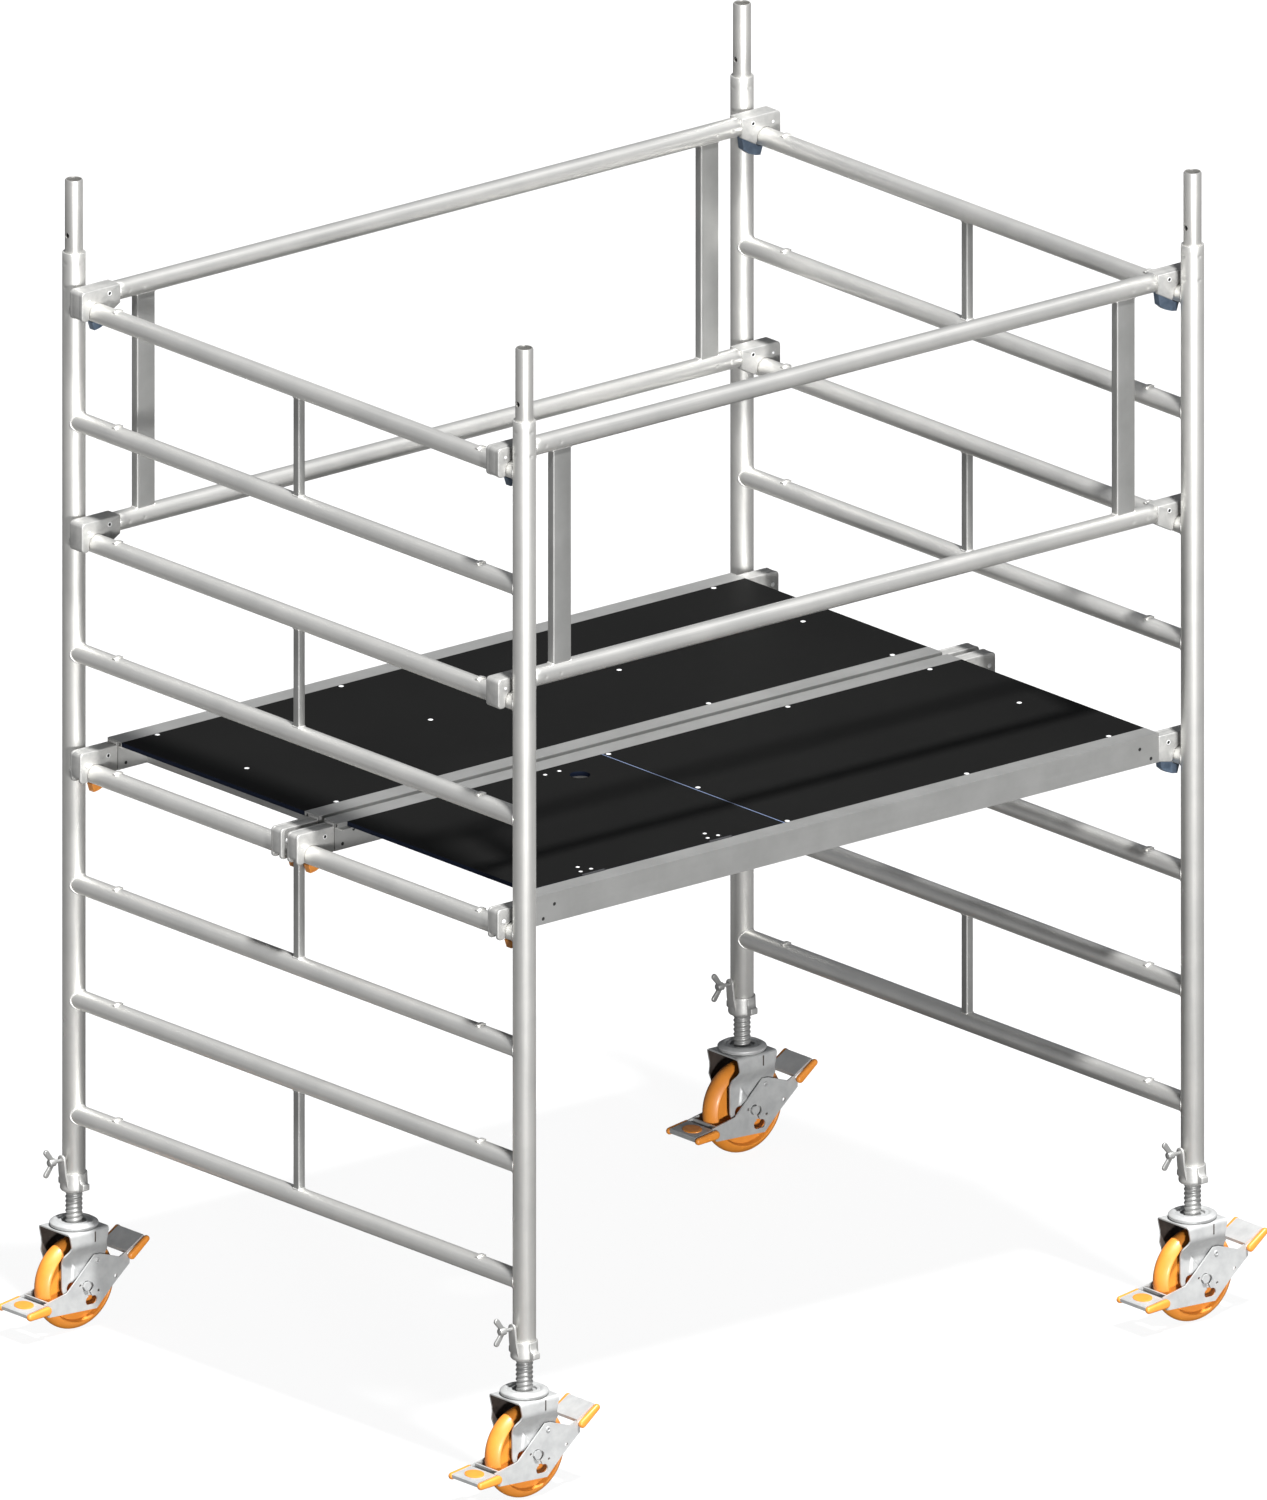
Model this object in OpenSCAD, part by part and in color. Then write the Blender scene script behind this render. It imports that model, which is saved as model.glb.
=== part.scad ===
// Rolling scaffold tower, one bay long, with two work decks and a guardrail on each side.
// Millimetres, +Z up. The origin is on the floor at the centre of the four castors.
// X runs along the decks and Y runs across the end frames.

/* [Tower] */
// Distance between post centres along the decks
bay_length = 1792; // [1500:4:2200]
// Distance between post centres across an end frame
frame_width = 1440; // [1250:4:1760]
// Distance between rung axes
rung_pitch = 250; // [210:5:300]
// Height of the lowest rung's axis above the foot of the post
first_rung = 136; // [112:1:180]
// Post left above the top rung's axis
post_head = 114; // [100:1:180]

/* [Tubes] */
// Outside diameter of the posts
post_d = 48.3; // [44:0.1:54]
// Inside diameter of the posts
post_bore = 38.7; // [38:0.1:41]
// Outside diameter of the rungs and guardrail tubes
rung_d = 41; // [38:0.5:42]
// Wall of the rungs and guardrail tubes
rung_wall = 2.5; // [1.5:0.1:4]
// Side of the square struts between pairs of rungs
strut_w = 18; // [12:1:30]
// Wall of the square struts
strut_wall = 2; // [1:0.5:4]
// Length of a stop nib across the rung's crown
nib_len = 24; // [16:1:30]
// Distance of the stop nibs from the middle of a rung
nib_y = 580; // [450:5:600]

/* [Spigots] */
// Outside diameter of the spigot above the post
spigot_d = 37.5; // [34:0.1:37.5]
// Bore of the spigot
spigot_bore = 31; // [26:0.5:32]
// Height of the spigot above the top of the post
spigot_len = 157; // [100:1:200]
// Depth of the spigot inside the post
spigot_depth = 98; // [60:1:140]
// Diameter of the lock pin hole across the spigot
lock_hole_d = 12; // [8:0.5:14]
// Height of the lock pin hole above the top of the post
lock_hole_z = 38; // [25:1:60]

/* [Guardrails] */
// Distance of a guardrail's axis inside the post centres
guard_inset = 54.7; // [50:0.1:90]
// Height of a guardrail tube's axis above its rung's axis
guard_rise = 29.6; // [26:0.2:34]
// Distance from the rung's axis to the end of a guardrail tube
guard_end = 63; // [60:1:75]
// Distance of the upright struts inside the post centres
guard_strut_inset = 140; // [100:2:340]
// Width of an upright strut along the guardrail
guard_strut_w = 48; // [30:1:60]
// Thickness of an upright strut
guard_strut_t = 20; // [15:1:30]

/* [Decks] */
// Distance of a deck's outer edge inside the post centres
deck_inset = 36; // [34:1:60]
// Gap between the two decks
deck_gap = 17; // [14:1:40]
// Distance from the rung's axis to the end of the deck rails
deck_end = 60; // [56:1:75]
// Height of the deck rail's top above the rung's axis
deck_top = 59; // [54:1:66]
// Depth of a deck rail
rail_h = 63; // [55:1:80]
// Width of a deck rail's box
rail_w = 34; // [30:1:40]
// Wall of a deck rail
rail_wall = 3; // [2:0.5:4]
// Width of a deck rail's top flange from its outer face
flange_w = 45; // [42:1:50]
// Reach of the ledge under the panel from the rail's outer face
ledge_w = 60; // [55:1:70]
// Thickness of the deck panels
panel_t = 9.5; // [8:0.5:15]
// Width of a cross member
transom_w = 25; // [20:1:40]
// Distance of the outer cross members inside the ends of the deck rails
transom_inset = 90; // [60:1:160]
// Distance of the far deck's inner cross members from its middle
transom_mid = 253; // [150:1:320]
// Distance of the near deck's middle cross member from the deck's middle
near_transom_mid = 364; // [200:1:450]
// Length of the hatch
hatch_len = 681.5; // [450:0.5:720]
// Distance of the hatch's free end from the rung's axis
hatch_end = 84; // [76:1:110]
// Diameter of the finger hole in the hatch
finger_d = 43; // [30:1:60]

/* [Castors] */
// Diameter of the wheel
wheel_d = 200; // [160:2:220]
// Width of the tread
wheel_w = 46; // [36:1:50]
// Height of the fork's top above the wheel's crown
fork_clear = 22; // [20:1:50]
// Diameter of the threaded spindle
spindle_d = 36; // [30:0.5:37]
// Thread left showing between the castor and the nut
thread_shown = 62; // [55:1:90]
// Length of the threaded spindle above its castor
spindle_len = 364; // [320:2:460]
// Running clearance of bores on pins, on the radius
run_fit = 0.05; // [0.02:0.01:0.09]

/* [Hidden] */
$fn = 64;
e = 0.01;
hook_gap = 0.3;
seat_gap = 0.3;
weld_gap = 0.1;

// Castor stack, from the floor up
wheel_r = wheel_d / 2;
axle_z = wheel_r;
fork_top = wheel_d + fork_clear;
race_h = 2;
race_z = fork_top + race_h + seat_gap;
ring_h = 11.7;
ring_top = race_z + ring_h;
nut_z = ring_top + thread_shown;
nut_base = 30.7;
collar_h = 10.3;
post_foot = nut_z + nut_base + seat_gap;
wing_z = nut_z + 71;

// End frames
post_x = bay_length / 2;
post_y = frame_width / 2;
rung_count = 8;
function rung_z(k) = post_foot + first_rung + k * rung_pitch;
deck_rung = 3;
guard_rungs = [5, 7];
post_top = rung_z(rung_count - 1) + post_head;
strutted_rungs = [0, 2, 4, 6];

// Decks: height, edges and the two rail centres of each
deck_z = rung_z(deck_rung) + deck_top;
deck_out = post_y - deck_inset;
deck_in = deck_gap / 2;
deck_mid = (deck_out + deck_in) / 2;
rail_ys = [deck_out - rail_w / 2, deck_in + rail_w / 2];
deck_x = post_x - deck_end;
panel_top = deck_z - 0.5;
ledge_top = panel_top - panel_t;
rail_foot = deck_z - rail_h;
panel_gap = 0.5;
panel_half = deck_out - flange_w - panel_gap - deck_mid;
transom_top = ledge_top - 0.2;
hatch_x0 = -post_x + hatch_end;
hatch_x1 = hatch_x0 + hatch_len;
hatch_gap = 2.5;
transom_x = deck_x - transom_inset;
hatch_landing = 13.5;
far_transoms = [-transom_x, -transom_mid, transom_mid, transom_x];
near_transoms = [hatch_x1 + hatch_landing, near_transom_mid, transom_x - 1];
rivet_pitch = panel_half - 6.5;
rivet_r = 5.5;
rivet_t = 2;

// Hatch hinge
hinge_r = 3;
hinge_pin_r = 1.5;
hinge_len = 60;
hinge_xs = [hatch_x0 + 0.25 * hatch_len, hatch_x1 - 0.25 * hatch_len];
hinge_side = deck_out - flange_w - 2.7;
hinge_y = -hinge_side;
hinge_z = panel_top + 0.3;
hinge_notch = hinge_len / 2 + 1;
leaf_t = 1.5;

// Hooks
guard_y = post_y - guard_inset;
guard_x = post_x - guard_end;
guard_strut_x = post_x - guard_strut_inset;
claw_slot = 18;
catch_t = claw_slot - 0.6;
pin_r = 3;

// Castor details
fork_leg_y = 30.5;
fork_skirt_y = 50.5;
fork_t = 3.3;
axle_r = 6;
kingpin_r = 10;
brake_x = 30;
brake_rise = 49;
brake_pin_r = 4.4;
plate_in = 36.5;
plate_out = 40;
cap_out = 52;

corners = [["a", -1, -1], ["b", 1, -1], ["c", -1, 1], ["d", 1, 1]];
deck_catch_ys = [-rail_ys[0], -rail_ys[1], rail_ys[1], rail_ys[0]];

alloy = [0.80, 0.79, 0.76];
cast = [0.72, 0.72, 0.71];
zinc = [0.70, 0.71, 0.72];
board = [0.15, 0.15, 0.15];
orange = [0.95, 0.58, 0.20];
slate = [0.36, 0.42, 0.50];

// ---- helpers ----

// Places the children at each corner of the tower
module at_corners() {
    for (c = corners) translate([c[1] * post_x, c[2] * post_y, 0]) children();
}

// A round bar along Y, centred
module bar_y(r, len) {
    rotate([90, 0, 0]) cylinder(r = r, h = len, center = true);
}

// A round bar along X, centred
module bar_x(r, len) {
    rotate([0, 90, 0]) cylinder(r = r, h = len, center = true);
}

// Extrudes an outline drawn in X and Z by len along Y, centred
module slab_y(len) {
    rotate([90, 0, 0]) linear_extrude(height = len, center = true) children();
}

// Stands the children on the rung at one end (-1 or 1), with local +X pointing into the bay
module on_rung(end, y, k) {
    translate([end * post_x, y, rung_z(k)]) mirror([end > 0 ? 1 : 0, 0, 0]) children();
}

// A box from its two opposite corners
module span_box(lo, hi) {
    translate(lo) cube(hi - lo);
}

// Repeats a piece of the deck on both decks, mirrored about the gap between them
module both_decks() {
    children();
    mirror([0, 1, 0]) children();
}

// ---- end frames ----

module posts() {
    color(alloy) at_corners() difference() {
        translate([0, 0, post_foot]) cylinder(d = post_d, h = post_top - post_foot);
        translate([0, 0, post_foot - 1]) cylinder(d = post_bore, h = post_top - post_foot + 2);
    }
}

module spigots() {
    inner_r = post_bore / 2 - 0.15;
    chamfer = 3;
    color(alloy) at_corners() translate([0, 0, post_top]) difference() {
        rotate_extrude() polygon([
            [spigot_bore / 2, -spigot_depth], [inner_r, -spigot_depth], [inner_r, -0.5],
            [spigot_d / 2, 0], [spigot_d / 2, spigot_len - chamfer],
            [spigot_d / 2 - chamfer / 2, spigot_len], [spigot_bore / 2, spigot_len]]);
        translate([0, 0, lock_hole_z]) bar_x(lock_hole_d / 2, post_d);
    }
}

module rung(x, k) {
    translate([x, 0, rung_z(k)]) {
        difference() {
            bar_y(rung_d / 2, frame_width);
            bar_y(rung_d / 2 - rung_wall, frame_width + 2);
            for (side = [-1, 1]) translate([0, side * post_y, 0])
                cylinder(r = post_d / 2 + weld_gap, h = 2 * rung_d, center = true);
        }
        for (side = [-1, 1]) translate([0, side * nib_y, 0]) nib();
    }
}

// Saddle-shaped stop over the crown of a rung
module nib() {
    thick = 3.5;
    difference() {
        translate([-nib_len / 2, -5, rung_d / 2 - 4]) cube([nib_len, 10, 4 + thick]);
        bar_y(rung_d / 2 - 1, 20);
        difference() {
            bar_y(2 * rung_d, 12);
            bar_y(rung_d / 2 + thick, 14);
        }
    }
}

module rungs() {
    color(alloy) for (x = [-post_x, post_x], k = [0:rung_count - 1]) rung(x, k);
}

module frame_struts() {
    color(alloy) for (x = [-post_x, post_x], k = strutted_rungs) translate([x, 0, rung_z(k)])
        difference() {
            translate([0, 0, rung_pitch / 2]) difference() {
                cube([strut_w, strut_w, rung_pitch], center = true);
                cube([strut_w - 2 * strut_wall, strut_w - 2 * strut_wall, rung_pitch + 2], center = true);
            }
            for (z = [0, rung_pitch]) translate([0, 0, z]) bar_y(rung_d / 2 + weld_gap, 2 * strut_w);
        }
}

// ---- guardrails ----

module guard_tubes() {
    color(alloy) for (y = [-guard_y, guard_y], k = guard_rungs)
        translate([0, y, rung_z(k) + guard_rise]) difference() {
            bar_x(rung_d / 2, 2 * guard_x);
            bar_x(rung_d / 2 - rung_wall, 2 * guard_x + 2);
        }
}

module guard_struts() {
    low = rung_z(guard_rungs[0]) + guard_rise;
    high = rung_z(guard_rungs[1]) + guard_rise;
    wall = 2;
    color(alloy) for (x = [-guard_strut_x, guard_strut_x], y = [-guard_y, guard_y])
        translate([x, y, 0]) difference() {
            span_box([-guard_strut_w / 2, -guard_strut_t / 2, low],
                     [guard_strut_w / 2, guard_strut_t / 2, high]);
            span_box([wall - guard_strut_w / 2, wall - guard_strut_t / 2, low - 1],
                     [guard_strut_w / 2 - wall, guard_strut_t / 2 - wall, high + 1]);
            for (z = [low, high]) translate([0, 0, z]) bar_x(rung_d / 2 + weld_gap, 2 * guard_strut_w);
        }
}

// Side outline of a claw that hooks over a rung at the origin, with its back at x = back
module claw_outline(back, low, high, lip) {
    reach = rung_d / 2 + hook_gap;
    nose = reach + 20;
    round_r = 13;
    difference() {
        union() {
            polygon([[-nose, lip + 6], [-nose + 6, lip], [-reach, lip], [0, lip], [reach + 4, lip + 3],
                [reach + 10, lip + 4], [back, low], [back, high], [-nose + round_r, high],
                [-nose, high - round_r]]);
            translate([-nose + round_r, high - round_r]) circle(r = round_r);
        }
        circle(r = reach);
        translate([-reach, lip - 1]) square([2 * reach, 1 - lip]);
    }
}

// Slot for the catch, open below, with the pin it swings on left standing across it
module catch_slot(pivot, high) {
    difference() {
        translate([rung_d / 2 - 1, -claw_slot / 2, -40]) cube([70, claw_slot, 40 + high]);
        translate([pivot[0], 0, pivot[1]]) bar_y(pin_r, claw_slot + 2);
    }
}

guard_pivot = [46, 14];
deck_pivot = [43, 12];
guard_eyelet = [33, 35];
deck_eyelet = [34, 33];
eyelet_r = 3.5;
plug_rivets = [[111, 34], [81, 8]];
plug_rivet_r = 4;

module guard_claw(slotted) {
    low = guard_rise - rung_d / 2;
    high = guard_rise + rung_d / 2 - 0.5;
    plug_r = rung_d / 2 - rung_wall - 0.2;
    difference() {
        union() {
            slab_y(rung_d - 0.4) claw_outline(guard_end - 0.3, low, high, -14);
            translate([guard_end + 19, 0, guard_rise]) bar_x(plug_r, 42);
        }
        translate([guard_eyelet[0], 0, guard_eyelet[1]]) bar_y(eyelet_r, rung_d + 2);
        if (slotted) catch_slot(guard_pivot, guard_pivot[1] + 12);
    }
}

module guard_claws() {
    color(cast) for (end = [-1, 1], y = [-guard_y, guard_y], k = guard_rungs)
        on_rung(end, y, k) guard_claw(k == guard_rungs[1]);
}

// Sickle-shaped safety catch under a rung at the origin, swinging on a pin at pivot
module catch(pivot) {
    wrap_r = rung_d / 2 + 2;
    difference() {
        slab_y(catch_t) difference() {
            union() {
                polygon([[-3, -24], [3, -42], [16, -40], [34, -33], [pivot[0] + 3, pivot[1] - 35],
                    [pivot[0] + 7, pivot[1] - 7], pivot, [pivot[0] - 9, pivot[1]], [24, 5], [0, 0]]);
                translate(pivot) circle(r = 9);
            }
            circle(r = wrap_r);
        }
        translate([pivot[0], 0, pivot[1]]) bar_y(pin_r + run_fit, catch_t + 2);
    }
}

module guard_catch(c) {
    color(slate) on_rung(c[1], c[2] * guard_y, guard_rungs[1]) catch(guard_pivot);
}

module deck_catch(end, y) {
    color(end < 0 ? orange : slate) on_rung(end, y, deck_rung) catch(deck_pivot);
}

// ---- decks ----

// Section of a deck rail with its outer face at y = 0, the box below and the panel ledge inside
module rail_section() {
    foot = rail_foot - deck_z;
    ledge = ledge_top - deck_z;
    step_t = 3;
    difference() {
        union() {
            translate([0, foot]) square([rail_w, rail_h]);
            translate([rail_w - 1, -step_t]) square([flange_w - rail_w + 1, step_t]);
            translate([flange_w - step_t, ledge - step_t]) square([step_t, -ledge + step_t]);
            translate([rail_w - 1, ledge - step_t]) square([ledge_w - rail_w + 1, step_t]);
        }
        translate([rail_wall, foot + rail_wall]) square([rail_w - 2 * rail_wall, rail_h - 2 * rail_wall]);
    }
}

// A rail with its outer face at y and its ledge pointing in the direction of side
module deck_rail(y, side) {
    translate([-deck_x, y, deck_z]) mirror([0, side > 0 ? 0 : 1, 0]) rotate([90, 0, 90])
        linear_extrude(height = 2 * deck_x) rail_section();
}

// Rivet holes that fix a deck claw's plug inside the rail
module claw_rivets() {
    for (end = [-1, 1], p = plug_rivets) on_rung(end, 0, deck_rung)
        translate([p[0], 0, p[1]]) bar_y(plug_rivet_r, 3 * frame_width);
}

module deck_rails() {
    color(alloy) {
        difference() {
            deck_rail(-deck_out, 1);
            claw_rivets();
            for (x = hinge_xs) {
                span_box([x - hinge_notch, -deck_out + flange_w - 1.2, ledge_top - 4],
                         [x + hinge_notch, -deck_out + ledge_w + 1, ledge_top + e]);
                span_box([x - hinge_notch, -deck_out + flange_w - 1.2, ledge_top - e],
                         [x + hinge_notch, -deck_out + flange_w + 1, deck_z + 1]);
            }
        }
        difference() {
            deck_rail(-deck_in, -1);
            claw_rivets();
        }
        difference() {
            deck_rail(deck_in, 1);
            claw_rivets();
        }
        difference() {
            deck_rail(deck_out, -1);
            claw_rivets();
        }
    }
}

// A cross member between the rails of the near deck, notched under the ledges
module transom(x) {
    half = deck_mid - deck_in - rail_w - 0.1;
    shelf = deck_mid - deck_in - ledge_w - 0.3;
    wall = 2;
    translate([x, deck_mid, 0]) difference() {
        span_box([-transom_w / 2, -half, rail_foot], [transom_w / 2, half, transom_top]);
        span_box([wall - transom_w / 2, -half - 1, rail_foot + wall],
                 [transom_w / 2 - wall, half + 1, transom_top - 5]);
        for (side = [-1, 1]) span_box([-transom_w, min(side * shelf, side * (half + 1)), ledge_top - 3.3],
                                      [transom_w, max(side * shelf, side * (half + 1)), deck_z]);
    }
}

module deck_transoms() {
    color(alloy) {
        for (x = far_transoms) transom(x);
        mirror([0, 1, 0]) for (x = near_transoms) transom(x);
    }
}

// Rivet places on the far deck (y above zero) and on the near deck
rivet_places = concat(
    [for (x = far_transoms, s = [-1, 0, 1]) [x, deck_mid + s * rivet_pitch]],
    [for (x = near_transoms, s = [-1, 0, 1]) if (x != near_transom_mid || s != 0) [x, -deck_mid + s * rivet_pitch]]);

module deck_rivets() {
    color("white") for (p = rivet_places) translate([p[0], p[1], panel_top]) {
        translate([0, 0, -rivet_t]) cylinder(r = rivet_r, h = rivet_t);
        translate([0, 0, -panel_t]) cylinder(r = 2.4, h = panel_t - 1);
    }
}

module rivet_holes() {
    for (p = rivet_places) translate([p[0], p[1], panel_top]) {
        translate([0, 0, -rivet_t - 0.1]) cylinder(r = rivet_r + 0.2, h = rivet_t + 1);
        translate([0, 0, -panel_t - 1]) cylinder(r = 2.6, h = panel_t + 2);
    }
}

module far_deck_panel() {
    color(board) difference() {
        span_box([-deck_x, deck_mid - panel_half, ledge_top], [deck_x, deck_mid + panel_half, panel_top]);
        rivet_holes();
    }
}

module near_deck_panel() {
    color(board) difference() {
        span_box([hatch_x1 + hatch_gap, -deck_mid - panel_half, ledge_top],
                 [deck_x, -deck_mid + panel_half, panel_top]);
        rivet_holes();
    }
}

module deck_claw() {
    back = deck_end - 0.3;
    foot = deck_top - rail_h;
    plug_t = rail_w - 2 * rail_wall - 0.4;
    difference() {
        union() {
            slab_y(rail_w - 0.6) claw_outline(back, foot, 51, -15);
            span_box([back - 2, -plug_t / 2, foot + rail_wall + 0.2],
                     [124, plug_t / 2, deck_top - rail_wall - 0.2]);
        }
        translate([deck_eyelet[0], 0, deck_eyelet[1]]) bar_y(eyelet_r, rail_w + 2);
        for (p = plug_rivets) translate([p[0], 0, p[1]]) bar_y(plug_rivet_r, rail_w);
        catch_slot(deck_pivot, deck_pivot[1] + 12);
    }
}

module deck_claws() {
    color(cast) for (end = [-1, 1], y = deck_catch_ys) on_rung(end, y, deck_rung) deck_claw();
}

// ---- hatch ----

module hatch_panel() {
    far_y = -deck_mid + panel_half;
    color(board) difference() {
        span_box([hatch_x0, hinge_y + 0.3, ledge_top + 0.3], [hatch_x1, far_y, hinge_z]);
        for (x = hinge_xs) span_box([x - hinge_notch, hinge_y, ledge_top],
                                    [x + hinge_notch, hinge_y + hinge_r + 0.8, deck_z + 1]);
        translate([hatch_x1 - 119.5, far_y - 74, 0]) cylinder(d = finger_d, h = 2 * deck_z);
        for (p = hatch_screws) translate([p[0], p[1], hinge_z - 2.1]) cylinder(r = 4.6, h = 3);
        for (p = hatch_screws) translate([p[0], p[1], ledge_top]) cylinder(r = 2.1, h = 3 * panel_t);
    }
}

hatch_screws = concat(
    [for (x = hinge_xs, s = [[0, 49], [-14, 23], [14, 23]]) [x + s[0], hinge_y + s[1]]],
    [for (x = [-174.5, -136.5]) [hatch_x1 + x, -deck_mid + panel_half - 28]]);

// The fixed halves of the two hinges, each with its pin
module hatch_hinge_fixed() {
    knuckle = hinge_len / 3 - 0.3;
    strip_y = -deck_out + flange_w - 1.2;
    color(zinc) for (x = hinge_xs) {
        translate([x, hinge_y, hinge_z]) {
            bar_x(hinge_pin_r, hinge_len);
            for (s = [-1, 1]) translate([s * hinge_len / 3, 0, 0]) bar_x(hinge_r, knuckle);
        }
        for (s = [-1, 1]) translate([x + s * hinge_len / 3, 0, 0])
            span_box([-knuckle / 2, strip_y, hinge_z - 4.5], [knuckle / 2, strip_y + 1.2, hinge_z]);
        span_box([x - hinge_len / 2, strip_y, ledge_top + 0.3], [x + hinge_len / 2, strip_y + 1.2, hinge_z - 4]);
    }
}

// Moving hinge leaves, the latch plate and all the screws of the hatch
module hatch_fittings() {
    knuckle = hinge_len / 3 - 0.3;
    drop_y = hinge_y + 2;
    under = ledge_top + 0.3;
    color(zinc) {
        for (x = hinge_xs) difference() {
            union() {
                translate([x, hinge_y, hinge_z]) bar_x(hinge_r, knuckle);
                span_box([x - knuckle / 2, drop_y, under - leaf_t], [x + knuckle / 2, drop_y + leaf_t, hinge_z - 1]);
                span_box([x - knuckle / 2, drop_y, under - leaf_t], [x + knuckle / 2, hinge_y + 20, under]);
                span_box([x - 24, hinge_y + 16, under - leaf_t], [x + 24, hinge_y + 56, under]);
            }
            translate([x, hinge_y, hinge_z]) bar_x(hinge_pin_r + run_fit, hinge_len);
        }
        span_box([hatch_x1 - 180.5, -deck_mid + panel_half - 38, under - leaf_t],
                 [hatch_x1 - 130.5, -deck_mid + panel_half - 17, under]);
        for (p = hatch_screws) translate([p[0], p[1], 0]) {
            translate([0, 0, hinge_z - 2]) cylinder(r = 4.4, h = 2);
            translate([0, 0, under - leaf_t / 2]) cylinder(r = 2, h = panel_t - 1);
        }
    }
}

// ---- castors and adjustable legs ----

module spindle() {
    color(zinc) {
        cylinder_at(spindle_d / 2, race_z, ring_top + spindle_len);
        difference() {
            cylinder_at(51, race_z, ring_top);
            cylinder_at(25.5, race_z + 4, ring_top + 1);
        }
        cylinder_at(kingpin_r, fork_top - 13, race_z + 1);
        cylinder_at(16, fork_top - 13, fork_top - 4.1);
    }
}

// A cylinder between two heights
module cylinder_at(r, low, high) {
    translate([0, 0, low]) cylinder(r = r, h = high - low);
}

// Section of the fork across the axle: skirts, joggles and legs on both sides
module fork_section() {
    joggle_top = fork_top - 32;
    joggle_low = axle_z + 60;
    for (side = [0, 1]) mirror([side, 0]) polygon([
        [0, fork_top - 3.5], [fork_skirt_y - fork_t, fork_top - 3.5], [fork_skirt_y - fork_t, joggle_top + 1],
        [fork_leg_y - fork_t, joggle_low + 1], [fork_leg_y - fork_t, axle_z - 30],
        [fork_leg_y, axle_z - 30], [fork_leg_y, joggle_low], [fork_skirt_y, joggle_top],
        [fork_skirt_y, fork_top], [0, fork_top]]);
}

// Side outline of the fork
module fork_outline() {
    polygon([[-54, fork_top], [54, fork_top], [46, fork_top - 30], [58, axle_z + 72], [58, axle_z],
        [46, axle_z - 19], [24, axle_z - 26], [-24, axle_z - 26], [-46, axle_z - 19], [-58, axle_z],
        [-58, axle_z + 72], [-46, fork_top - 30]]);
}

module fork() {
    color(zinc) {
        difference() {
            intersection() {
                rotate([90, 0, 90]) linear_extrude(height = 120, center = true) fork_section();
                slab_y(110) fork_outline();
            }
            cylinder_at(kingpin_r + run_fit, fork_top - 10, fork_top + 1);
            translate([0, 0, axle_z]) bar_y(axle_r + 0.15, 120);
            translate([-32, 0, axle_z]) bar_y(13, 120);
        }
        difference() {
            cylinder_at(44, fork_top - 1, fork_top + race_h);
            cylinder_at(28, fork_top - 2, fork_top + race_h + 1);
        }
        for (side = [-1, 1]) translate([brake_x, 0, axle_z + brake_rise]) rotate([side * 90, 0, 0]) {
            cylinder_at(8, fork_leg_y - 1, plate_in - 0.2);
            cylinder_at(brake_pin_r, fork_leg_y, plate_out + 2);
            cylinder_at(7.5, plate_out + 0.2, plate_out + 2.4);
        }
    }
}

module axle_bolt() {
    color(zinc) translate([0, 0, axle_z]) {
        bar_y(axle_r, 88);
        for (side = [-1, 1]) rotate([side * 90, 0, 0]) translate([0, 0, fork_leg_y])
            cylinder(r = 10, h = 14, $fn = 6);
    }
}

// Half section of the wheel: radius across, width up
function wheel_section(steps = 6) = concat(
    [[axle_r + run_fit, -26.8], [22, -26.8], [24, -14], [wheel_r - 24, -10], [wheel_r - 20, -wheel_w / 2 + 2],
     [wheel_r - 16, -wheel_w / 2]],
    [for (i = [0:steps]) let (y = (2 * i / steps - 1) * wheel_w / 2)
        [wheel_r - 13 * pow(2 * abs(y) / wheel_w, 2.2), y]],
    [[wheel_r - 16, wheel_w / 2], [wheel_r - 20, wheel_w / 2 - 2], [wheel_r - 24, 10], [24, 14],
     [22, 26.8], [axle_r + run_fit, 26.8]]);

module wheel() {
    color(orange) translate([0, 0, axle_z]) rotate([90, 0, 0])
        rotate_extrude($fn = 96) polygon(wheel_section());
}

// Brake outlines are drawn about the axle of a 100 mm wheel radius. Points past the hub region
// move out or in with the wheel's own radius.
drawn_wheel_r = 100;
hub_reach = 60;
function beside_wheel(points) = [for (p = points)
    abs(p[0]) > hub_reach ? [p[0] + sign(p[0]) * (wheel_r - drawn_wheel_r), p[1]] : p];

// Top face of the pedal plate at a distance from the axle
function pedal_top(x) = -20.5 + (x + 111) * 7 / 47;

// One side plate of the brake rocker
module brake_plate() {
    polygon(beside_wheel([[-101, -48], [-112, -33], [-112, -18], [-51, -6], [15, 55], [23, 63], [38, 62],
        [90, 44], [105, 51], [116, 40], [116, 25], [71, -13], [28, -54]]));
}

module brake_rocker() {
    mid = (plate_in + plate_out) / 2;
    color(zinc) translate([0, 0, axle_z]) difference() {
        union() {
            for (side = [-1, 1]) translate([0, side * mid, 0]) slab_y(plate_out - plate_in) brake_plate();
            slab_y(2 * plate_out) polygon(beside_wheel([[-111, pedal_top(-111)], [-158, pedal_top(-158)],
                [-160.5, -30], [-160.5, -37], [-157, -37], [-157, -31.5], [-111, -25]]));
            slab_y(2 * plate_out) polygon(beside_wheel([[108, 47], [156, 74], [153, 79], [108, 53]]));
            intersection() {
                difference() {
                    bar_y(wheel_r + 4, 2 * plate_out - 1);
                    bar_y(wheel_r + 0.5, 2 * plate_out);
                }
                slab_y(2 * plate_out) polygon(beside_wheel([[-61, -12], [-115, -17], [-109, -46], [-61, -30]]));
            }
        }
        translate([brake_x, 0, brake_rise]) bar_y(brake_pin_r + run_fit, 3 * plate_out);
        slot_through() axle_slot();
        slot_through() for (p = [[79, 5.5, 4], [-16, 3.5, 3], [33, -16, 3]])
            translate([p[0], p[1]]) circle(r = p[2]);
    }
}

// Cuts an outline through both side plates
module slot_through() {
    slab_y(3 * plate_out) children();
}

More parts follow.
